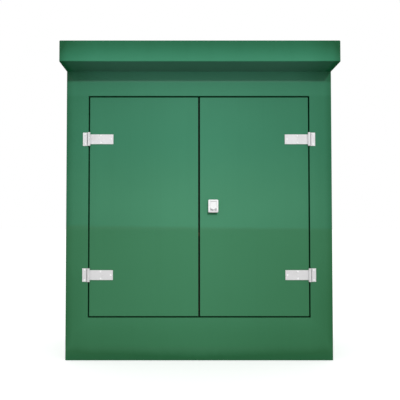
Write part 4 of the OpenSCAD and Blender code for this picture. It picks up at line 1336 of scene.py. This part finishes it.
@dataclass
class Enclosure:
    """The moulded body: rivets along its lap seams, and the screws of its board, in millimetres."""

    seam_inset: float = 15.0
    rivet_end: float = 70.0
    rivet_count: int = 13
    rivet: Tuple[Span, ...] = ((6.0, 0.0), (6.0, 0.5), (5.2, 1.5), (3.2, 2.3), (0.0, 2.6))
    board_inset: Span = (25.0, 30.0)
    board_head: DomeHead = DomeHead(6.5, 3.6, 2.6)
    washer_r: float = 11.0
    washer_t: float = 1.6
    washer_edge: Span = (0.4, 0.2)

    def build(self) -> None:
        """Makes the rivets and the screws."""
        self.build_rivets()
        self.build_board_screws()

    def build_rivets(self) -> None:
        """Makes the rivets of both seams."""
        shell = Box.of("body_shell")
        pitch = (shell.high.z - 2.0 * self.rivet_end) / (self.rivet_count - 1)
        head = [(radius, height, ROUND) for radius, height in self.rivet]
        rivets = Blank()
        for side in SIDES:
            for index in range(self.rivet_count):
                height = self.rivet_end + index * pitch
                spot = (side * shell.high.x, shell.low.y + self.seam_inset, height)
                rivets.turn(spot, (side, 0, 0), head)
        rivets.place("seam_rivets", Finish.SCREW, "cabinet", "stainless_steel")

    def build_board_screws(self) -> None:
        """Makes the screws of the board, each on its washer."""
        board = Box.of("back_board")
        across, up = self.board_inset
        inward, down = self.washer_edge
        washer = [
            (self.washer_r, 0.0, ROUND),
            (self.washer_r, self.washer_t - down, ROUND),
            (self.washer_r - inward, self.washer_t, ROUND),
        ]
        screws = Blank()
        for x in (board.low.x + across, board.high.x - across):
            for z in (board.low.z + up, board.middle.z, board.high.z - up):
                screws.turn((x, board.low.y, z), (0, -1, 0), washer)
                top = (x, board.low.y - self.washer_t, z)
                screws.turn(top, (0, -1, 0), self.board_head.profile())
        screws.place("board_screws", Finish.SCREW, "cabinet", "zinc_plate")


@dataclass
class Lock:
    """Screws of the lock on the right-hand door and of the bolts on the left, in millimetres."""

    case_inset: float = 8.0
    case_head: DomeHead = DomeHead(4.8, 2.9, 2.1)
    guide_half: Span = (15.8, 7.0)
    guide_near: float = 140.0
    guide_screw: float = 11.3
    guide_head: DomeHead = DomeHead(3.4, 2.2, 1.6)
    plate_t: float = 3.0
    plate_half: float = 60.0
    plate_spread: Span = (12.5, 25.0)
    plate_head: DomeHead = DomeHead(3.6, 2.2, 1.6)

    def build(self) -> None:
        """Makes the screws of the case, of the rod staples and of the bolt plates."""
        screws = Blank()
        self.add_case_screws(screws)
        self.add_guide_screws(screws)
        screws.place("lock_screws", Finish.SCREW, "right_door", "zinc_plate")
        self.build_plate_screws()

    def add_case_screws(self, screws: Blank) -> None:
        """Adds a screw at each corner of the lock case.

        Args:
            screws: The blank that the screws go into.
        """
        case = Box.of("lock_case")
        for across in SIDES:
            for up in SIDES:
                x = case.middle.x + across * (case.half.x - self.case_inset)
                z = case.middle.z + up * (case.half.z - self.case_inset)
                screws.turn((x, case.high.y, z), (0, 1, 0), self.case_head.profile())

    def add_guide_screws(self, screws: Blank) -> None:
        """Adds two screws to each staple of the lock rods.

        Args:
            screws: The blank that the screws go into.
        """
        guides = Box.of("rod_guides")
        wide, tall = self.guide_half
        for end in SIDES:
            column = guides.middle.x - end * (guides.half.x - wide)
            for reach in (self.guide_near, guides.half.z - tall):
                for across in SIDES:
                    x = column + across * self.guide_screw
                    spot = (x, guides.high.y, guides.middle.z + end * reach)
                    screws.turn(spot, (0, 1, 0), self.guide_head.profile())

    def build_plate_screws(self) -> None:
        """Makes the four screws of each bolt plate."""
        plates = Box.of("bolt_housings")
        wide, tall = self.plate_spread
        screws = Blank()
        for end in SIDES:
            centre = plates.middle.z + end * (plates.half.z - self.plate_half)
            for across in SIDES:
                for up in SIDES:
                    x = plates.middle.x + across * wide
                    spot = (x, plates.low.y + self.plate_t, centre + up * tall)
                    screws.turn(spot, (0, 1, 0), self.plate_head.profile())
        screws.place("bolt_plate_screws", Finish.SCREW, "left_door", "stainless_steel")


@dataclass(frozen=True)
class Grip:
    """The ribbed grip of a lever: shares of its length, and sections in millimetres."""

    start: Tuple[Point, ...] = ((0.0, 25.6, 5.8), (0.012, 27.4, 7.4), (0.04, 28.4, 8.4))
    end: Tuple[Point, ...] = (
        (0.90, 28.6, 8.6),
        (0.96, 28.2, 8.4),
        (0.985, 26.0, 7.2),
        (1.0, 21.0, 4.6),
    )
    width: float = 28.4
    height: float = 8.4
    ribs: int = 14
    rib_first: float = 0.08
    rib_pitch: float = 0.055
    rib: Tuple[Span, ...] = ((0.0, 0.0), (0.020, 0.0), (0.027, 0.7), (0.048, 0.7))
    rib_height: float = 0.85
    swell: float = 1.3
    swell_length: float = 0.77
    swell_height: float = 0.5
    points: int = 28
    squareness: float = 0.5

    def sections(self) -> List[Point]:
        """Lists the sections from the foot to the tip.

        Returns:
            Share of the length, width and height of each section.
        """
        made = list(self.start)
        for index in range(self.ribs):
            along = index * self.rib_pitch
            swell = self.swell * math.sin(math.pi * along / self.swell_length)
            for step, groove in self.rib:
                width = self.width + swell - groove
                height = self.height + self.swell_height * swell - self.rib_height * groove
                made.append((self.rib_first + along + step, width, height))
        return [*made, *self.end]

    def ring(self, centre: Point, width: float, height: float) -> List[Point]:
        """Draws one rounded section.

        Args:
            centre: Centre of the section.
            width: Width of the section.
            height: Height of the section.

        Returns:
            The section's points.
        """
        x, y, z = centre
        ring: List[Point] = []
        for index in range(self.points):
            angle = 2.0 * math.pi * index / self.points
            cosine, sine = math.cos(angle), math.sin(angle)
            out = math.copysign(abs(cosine) ** self.squareness, cosine) * width / 2.0
            up = math.copysign(abs(sine) ** self.squareness, sine) * height / 2.0
            ring.append((x, y + out, z + up))
        return ring


@dataclass
class Pipework:
    """Screws of the clamps' feet, lever grips and nuts, and gaskets, in millimetres."""

    foot_t: float = 6.0
    foot_r: float = 32.0
    foot_screw: float = 21.0
    foot_head: DomeHead = DomeHead(5.2, 3.2, 2.2)
    lever_t: float = 4.0
    grip: Grip = Grip()
    grip_start: float = 74.0
    grip_lap: float = 2.0
    grip_crease: float = 55.0
    nut: HexNut = HexNut(10.4, 6.2, 11.2)
    stem_up: float = 7.9
    stem: Tuple[Span, ...] = ((4.6, 0.0), (4.6, 1.6), (4.0, 2.3), (0.0, 2.4))
    gasket_proud: float = 0.5
    gasket_w: float = 4.0
    gasket_t: float = 1.4
    gasket_round: float = 0.3
    gasket_steps: int = 64

    def build(self) -> None:
        """Makes every small piece of the pipework."""
        self.build_foot_screws()
        for side, word in zip(SIDES, ("inlet", "outlet")):
            self.build_grip(side, word)
            self.build_nut(word)
        self.build_gaskets()

    def build_foot_screws(self) -> None:
        """Makes the screws that hold the clamps' feet to the board."""
        clamps = Box.of("pipe_clamps")
        riser = Box.of("outlet_riser")
        riser_x = riser.high.x - riser.half.y
        screws = Blank()
        for side in SIDES:
            for height in (clamps.low.z + self.foot_r, clamps.high.z - self.foot_r):
                for up in SIDES:
                    z = height + up * self.foot_screw
                    spot = (side * riser_x, clamps.high.y - self.foot_t, z)
                    screws.turn(spot, (0, -1, 0), self.foot_head.profile())
        screws.place("clamp_foot_screws", Finish.ZINC, "cabinet", "zinc_plate")

    def build_grip(self, side: float, word: str) -> None:
        """Makes the ribbed grip of one lever.

        Args:
            side: -1 on the inlet, 1 on the outlet.
            word: First word of the nodes' names.
        """
        lever = Box.of(f"{word}_lever")
        stem = Box.of(f"{word}_ball").middle
        tip = max(abs(lever.low.x), abs(lever.high.x)) + self.grip_lap
        start = abs(stem.x) + self.grip_start
        rings: List[List[Point]] = []
        for share, width, height in self.grip.sections():
            x = side * (start + share * (tip - start))
            centre = (x, stem.y, lever.high.z - self.lever_t / 2.0)
            rings.append(self.grip.ring(centre, width, height))
        blank = Blank()
        blank.loft(rings)
        blank.place(
            f"{word}_lever_grip", Finish.GRIP, f"{word}_handle", "rubber", self.grip_crease
        )

    def build_nut(self, word: str) -> None:
        """Makes the nut that holds one lever, with the stem's end in it.

        Args:
            word: First word of the nodes' names.
        """
        x, y, _ = Box.of(f"{word}_ball").middle
        top = Box.of(f"{word}_lever").low.z + self.lever_t
        end = [(radius, height, ROUND) for radius, height in self.stem]
        blank = Blank()
        blank.turn((x, y, top), (0, 0, 1), self.nut.profile())
        blank.turn((x, y, top + self.stem_up), (0, 0, 1), end)
        blank.place(f"{word}_lever_nut", Finish.ZINC, f"{word}_handle", "zinc_plate")

    def build_gaskets(self) -> None:
        """Makes the fibre gaskets that show under the check covers."""
        covers = Box.of("check_covers")
        check_x = covers.high.x - covers.half.y
        foot = Box.of("valve_body").high.z - self.gasket_t / 2.0
        outer = covers.half.y + self.gasket_proud
        inner, soft, top = outer - self.gasket_w, self.gasket_round, self.gasket_t
        profile = [
            (inner, 0.0, ROUND),
            (outer - soft, 0.0, ROUND),
            (outer, soft, ROUND),
            (outer, top - soft, ROUND),
            (outer - soft, top, ROUND),
            (inner, top, ROUND),
            (inner, 0.0, ROUND),
        ]
        gaskets = Blank()
        for side in SIDES:
            spot = (side * check_x, covers.middle.y, foot)
            gaskets.turn(spot, (0, 0, 1), profile, self.gasket_steps)
        gaskets.place("cover_gaskets", Finish.FIBRE, "cabinet", "rubber")


@dataclass(frozen=True)
class Spring:
    """A coil spring with closed ends, in millimetres."""

    node: str
    joint: str
    piece: str
    wire_r: float = 1.6
    turns: int = 6
    closed_pitch: float = 3.3
    steps: int = 32
    sides: int = 12

    def build(self) -> None:
        """Winds the spring in the place of its plain solid."""
        box = Box.of(self.node)
        count = self.turns * self.steps + 1
        coil = Blank()
        coil.loft([self.ring(box, step / self.steps) for step in range(count)])
        wound = coil.place(self.piece, Finish.SPRING, "cabinet", "stainless_steel")
        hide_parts(self.node)
        height = 2.0 * box.half.z * MM
        1.0 - self.travel() / height
        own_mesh(wound)

    def travel(self) -> float:
        """Returns how far the joint moves, in metres."""
        joints = {row["name"]: row for row in frame["record"]["behaviour"]["joints"]}
        return joints[self.joint]["range_m"][1]

    def ring(self, box: Box, turn: float) -> List[Point]:
        """Points round the wire.

        Args:
            box: The spring's box.
            turn: How many turns up the spring.

        Returns:
            The points of one ring.
        """
        tall = 2.0 * (box.half.z - self.wire_r)
        pitch = (tall - 2.0 * self.closed_pitch) / (self.turns - 2)
        ends = min(turn, 1.0) + max(turn - self.turns + 1, 0.0)
        height = box.low.z + self.wire_r + ends * self.closed_pitch + (turn - ends) * pitch
        points: List[Point] = []
        for side in range(self.sides):
            round_wire = 2.0 * math.pi * side / self.sides
            reach = box.half.x - self.wire_r + self.wire_r * math.cos(round_wire)
            x = box.middle.x + reach * math.cos(2.0 * math.pi * turn)
            y = box.middle.y + reach * math.sin(2.0 * math.pi * turn)
            points.append((x, y, height + self.wire_r * math.sin(round_wire)))
        return points


SPRINGS: Tuple[Spring, ...] = (
    Spring("first_check_spring", "first_check_lift", "first_check_coil"),
    Spring("second_check_spring", "second_check_lift", "second_check_coil"),
    Spring("relief_spring", "relief_close", "relief_coil"),
)


@dataclass
class Dressing:
    """Finishes and soft edges of the solids that stay as they are; rounds in millimetres."""

    slots: Dict[str, Finish] = field(
        default_factory=lambda: {
            "green_moulding": Finish.GREEN,
            "grey_moulding": Finish.GREY,
            "rubber": Finish.RUBBER,
            "board": Finish.BOARD,
            "stainless_steel": Finish.STAINLESS,
            "zinc_plate": Finish.ZINC,
            "bronze": Finish.BRONZE,
            "copper": Finish.COPPER,
        }
    )
    special: Dict[Finish, Tuple[str, ...]] = field(
        default_factory=lambda: {
            Finish.SHELL: ("body_shell",),
            Finish.SHADED_SOFFIT: ("roof_liner",),
            Finish.LOCK: ("lock_housing", "lock_flap"),
            Finish.HINGE: (
                "left_frame_leaves",
                "right_frame_leaves",
                "left_upper_strap",
                "left_lower_strap",
                "right_upper_strap",
                "right_lower_strap",
            ),
            Finish.SCREW_GLINT: ("frame_hinge_screws", "left_strap_screws", "right_strap_screws"),
            Finish.SPRING: tuple(spring.node for spring in SPRINGS),
        }
    )
    rounds: Dict[float, Tuple[str, ...]] = field(
        default_factory=lambda: {
            3.0: ("roof_cap",),
            2.0: ("left_door_liner", "right_door_liner"),
            1.6: ("valve_body",),
            1.5: ("body_shell",),
            1.2: (
                "left_door_skin",
                "right_door_skin",
                "check_covers",
                "relief_body",
                "relief_cover",
                "inlet_valve",
                "outlet_valve",
                "union_nuts",
                "lock_case",
            ),
            1.0: ("front_frame", "lock_housing"),
            0.8: ("back_board", "pipe_clamps", "clamp_fronts"),
        }
    )
    fine: float = 0.4
    plain: Tuple[str, ...] = ("lock_spindle", *(spring.node for spring in SPRINGS))
    weld_reach: float = 0.01
    flat_angle: float = 0.3
    sharp_angle: float = 38.0
    segments: int = 2

    def dress(self) -> None:
        """Gives each solid its finish, and softens its edges."""
        wanted = {row["node"]: row["material_slot"] for row in frame["record"]["subparts"]}
        special = {node: finish for finish, nodes in self.special.items() for node in nodes}
        rounds = {node: width for width, nodes in self.rounds.items() for node in nodes}
        for name, solid in frame["nodes"].items():
            finish = special.get(name, self.slots[wanted[name]])
            solid.data.materials.clear()
            solid.data.materials.append(finish.value.material())
            if name not in self.plain:
                self.soften(solid, rounds.get(name, self.fine) * MM)
            LOG.info("%s in %s", name, finish.value.name)

    def soften(self, solid: bpy.types.Object, width: float) -> None:
        """Rounds a solid's sharp edges without touching its mesh.

        Args:
            solid: The solid's object.
            width: Width of the rounds in metres.
        """
        weld = solid.modifiers.new("weld", "WELD")
        weld.merge_threshold = self.weld_reach * MM
        flats = solid.modifiers.new("whole_flats", "DECIMATE")
        flats.decimate_type = "DISSOLVE"
        flats.angle_limit = math.radians(self.flat_angle)
        bevel = solid.modifiers.new("soft_edges", "BEVEL")
        bevel.width = width
        bevel.segments = self.segments
        bevel.limit_method = "ANGLE"
        bevel.angle_limit = math.radians(self.sharp_angle)
        bevel.harden_normals = True
        bevel.use_clamp_overlap = True
        normals = solid.modifiers.new("even_normals", "WEIGHTED_NORMAL")
        normals.keep_sharp = True


@dataclass
class Studio:
    """Floor, light and camera, in metres, degrees and, for the lens, millimetres."""

    floor: PaleFloor = PaleFloor("pale_floor")
    floor_half: float = 120.0
    floor_z: float = -0.5 * MM
    card: GroundCard = GroundCard("ground_card")
    card_gap: float = 0.12
    card_z: float = 0.5 * MM
    ambient: float = 0.75
    sun_strength: float = 1.09
    sun_width: float = 1.5
    sun_travel: Point = (-31.5, 150.0, -45.0)
    camera_at: Point = (-0.0635, -2.6244, 0.5957)
    camera_pitch: float = 1.602
    lens: float = 48.005
    sensor: float = 36.0
    shift: Span = (0.0375, 0.03)

    def build(self) -> None:
        """Sets the stage."""
        self.build_camera()
        self.build_world()
        self.build_floor()
        self.build_card()
        self.build_sun()
        bpy.context.scene.view_settings.view_transform = "Standard"

    def build_camera(self) -> None:
        """Makes the camera at the photograph's viewpoint."""
        data = bpy.data.cameras.new("camera")
        data.lens = self.lens
        data.sensor_width = self.sensor
        data.shift_x, data.shift_y = self.shift
        camera = bpy.data.objects.new("camera", data)
        camera.location = self.camera_at
        camera.rotation_euler = Euler((math.radians(90.0 + self.camera_pitch), 0.0, 0.0))
        bpy.context.scene.collection.objects.link(camera)
        bpy.context.scene.camera = camera

    def build_world(self) -> None:
        """Makes a white surround that lights the object at a plain level."""
        world = bpy.data.worlds.new("surround")
        world.use_nodes = True
        bpy.context.scene.world = world
        sheet = NodeSheet(world.node_tree)
        strength = self.ambient + (1.0 - self.ambient) * sheet.background_rays()
        white = {"Color": rgba((1.0, 1.0, 1.0)), "Strength": strength}
        surround = sheet.add("ShaderNodeBackground", sockets=white)
        sheet.add("ShaderNodeOutputWorld", sockets={"Surface": surround})

    def build_floor(self) -> None:
        """Makes the pale floor."""
        far = self.floor_half
        self.level_sheet("floor", self.floor, self.floor_z, [(-far, -far, far, far)])

    def build_card(self) -> None:
        """Makes the ground round the object that only the gloss of the object sees."""
        low, high = CAD_BOX
        gap, far = self.card_gap, self.floor_half
        x0, y0, x1, y1 = low.x - gap, low.y - gap, high.x + gap, high.y + gap
        strips = [
            (-far, -far, far, y0),
            (-far, y1, far, far),
            (-far, y0, x0, y1),
            (x1, y0, far, y1),
        ]
        card = self.level_sheet("ground_card", self.card, self.card_z, strips)
        card.visible_camera = False
        card.visible_diffuse = False
        card.visible_transmission = False
        card.visible_volume_scatter = False
        card.visible_shadow = False

    def build_sun(self) -> None:
        """Makes the one lamp, which stays out of the reflections."""
        sun = bpy.data.lights.new("key", "SUN")
        sun.energy = self.sun_strength
        sun.angle = math.radians(self.sun_width)
        lamp = bpy.data.objects.new("key", sun)
        lamp.rotation_mode = "QUATERNION"
        lamp.rotation_quaternion = Vector(self.sun_travel).to_track_quat("-Z", "Y")
        lamp.visible_glossy = False
        bpy.context.scene.collection.objects.link(lamp)

    @staticmethod
    def level_sheet(
        name: str, coat: Coat, height: float, strips: Sequence[Tuple[float, float, float, float]]
    ) -> bpy.types.Object:
        """Makes a level sheet of rectangles.

        Args:
            name: Name of the object.
            coat: Its finish.
            height: Height of the sheet.
            strips: Lowest x and y, and highest x and y, of each rectangle.

        Returns:
            The object.
        """
        points: List[Point] = []
        faces: List[List[int]] = []
        for x0, y0, x1, y1 in strips:
            corners = ((x0, y0), (x1, y0), (x1, y1), (x0, y1))
            faces.append(list(range(len(points), len(points) + len(corners))))
            points += [(x, y, height) for x, y in corners]
        data = bpy.data.meshes.new(name)
        data.from_pydata(points, [], faces)
        data.materials.append(coat.material())
        made = bpy.data.objects.new(name, data)
        bpy.context.scene.collection.objects.link(made)
        return made


def main() -> None:
    """Builds the stage, dresses the solids and adds the small pieces."""
    logging.basicConfig(level=logging.INFO, format="%(name)s: %(message)s")
    Studio().build()
    Dressing().dress()
    Enclosure().build()
    Lock().build()
    Pipework().build()
    for spring in SPRINGS:
        spring.build()


if __name__ == "__main__":
    main()
